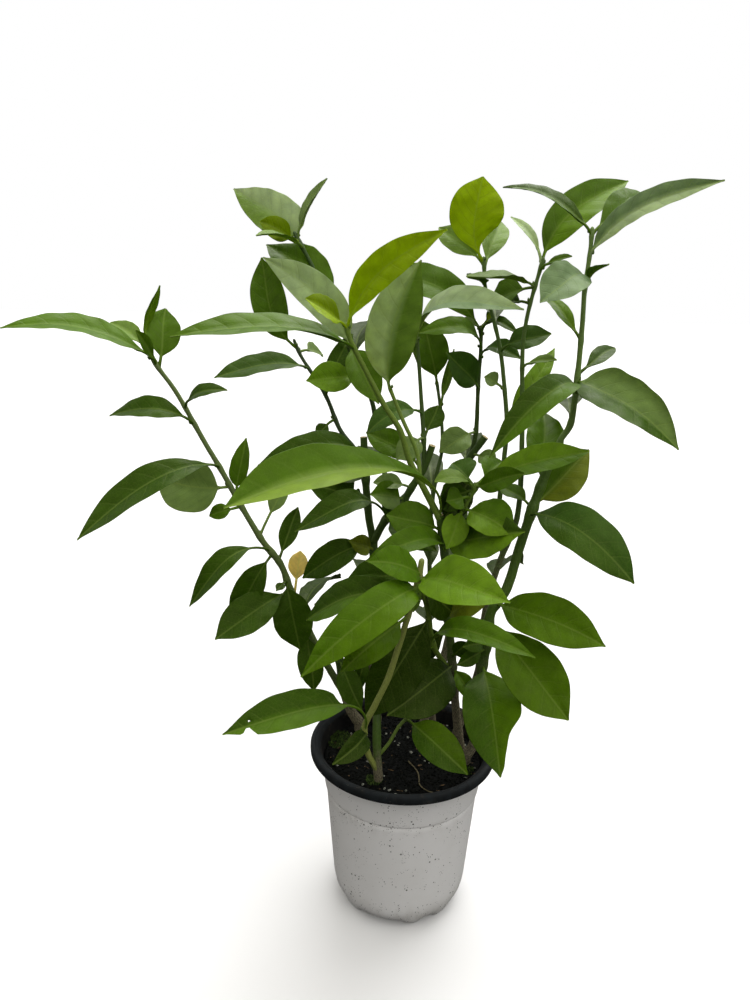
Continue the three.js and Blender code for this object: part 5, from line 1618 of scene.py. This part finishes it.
world = bpy.data.worlds.new("studio")
bpy.context.scene.world = world
world.use_nodes = True
sky, links = world.node_tree.nodes, world.node_tree.links
seen = sky.new("ShaderNodeLightPath")
backdrop = sky.new("ShaderNodeBackground")
backdrop.inputs["Color"].default_value = (1, 1, 1, 1)
backdrop.inputs["Strength"].default_value = 1.0
way = sky.new("ShaderNodeSeparateXYZ")
links.new(sky.new("ShaderNodeTexCoord").outputs["Generated"], way.inputs[0])
brightness = sky.new("ShaderNodeValToRGB")
brightness.color_ramp.interpolation = "EASE"
brightness.color_ramp.elements.remove(brightness.color_ramp.elements[1])
for place, light in SKY_STOPS:
    stop = brightness.color_ramp.elements.new(place) if place else brightness.color_ramp.elements[0]
    stop.position, stop.color = place, (light, light, light, 1)
half_up = sky.new("ShaderNodeMath")
half_up.operation = "MULTIPLY_ADD"
half_up.inputs[1].default_value = half_up.inputs[2].default_value = 0.5
links.new(way.outputs["Z"], half_up.inputs[0])
links.new(half_up.outputs[0], brightness.inputs[0])
fill = sky["Background"]
fill.inputs["Color"].default_value = (1, 0.98, 0.93, 1)
links.new(brightness.outputs["Color"], fill.inputs["Strength"])
choose = sky.new("ShaderNodeMixShader")
links.new(seen.outputs["Is Camera Ray"], choose.inputs[0])
links.new(fill.outputs[0], choose.inputs[1])
links.new(backdrop.outputs[0], choose.inputs[2])
links.new(choose.outputs[0], sky["World Output"].inputs["Surface"])

for name, (strength, (tilt, compass), spread) in SUNS.items():
    lamp = bpy.data.lights.new(name, "SUN")
    lamp.energy, lamp.angle = strength, math.radians(spread)
    holder = bpy.data.objects.new(name, lamp)
    holder.rotation_euler = (math.radians(tilt), 0, math.radians(compass))
    bpy.context.collection.objects.link(holder)

bpy.context.scene.view_settings.view_transform = "Standard"

# ---- Camera ----

FOCAL_LENGTH = 27
SENSOR_WIDTH = 36
CAMERA_PLACE = (-28.3, -574.0, 508.9)
CAMERA_PITCH = math.radians(14.6)
CAMERA_ROLL = math.radians(1.22)

lens = bpy.data.cameras.new("camera")
lens.lens, lens.sensor_width = FOCAL_LENGTH, SENSOR_WIDTH
camera = bpy.data.objects.new("camera", lens)
bpy.context.collection.objects.link(camera)
ahead = np.array([0, math.cos(CAMERA_PITCH), -math.sin(CAMERA_PITCH)])
level_right = np.array([1.0, 0, 0])
level_up = np.cross(level_right, ahead)
right = level_right * math.cos(CAMERA_ROLL) + level_up * math.sin(CAMERA_ROLL)
up = -level_right * math.sin(CAMERA_ROLL) + level_up * math.cos(CAMERA_ROLL)
turn = Matrix(np.stack([right, up, -ahead], 1).tolist()).to_4x4()
camera.matrix_world = Matrix.Translation([v * MM for v in CAMERA_PLACE]) @ turn
bpy.context.scene.camera = camera
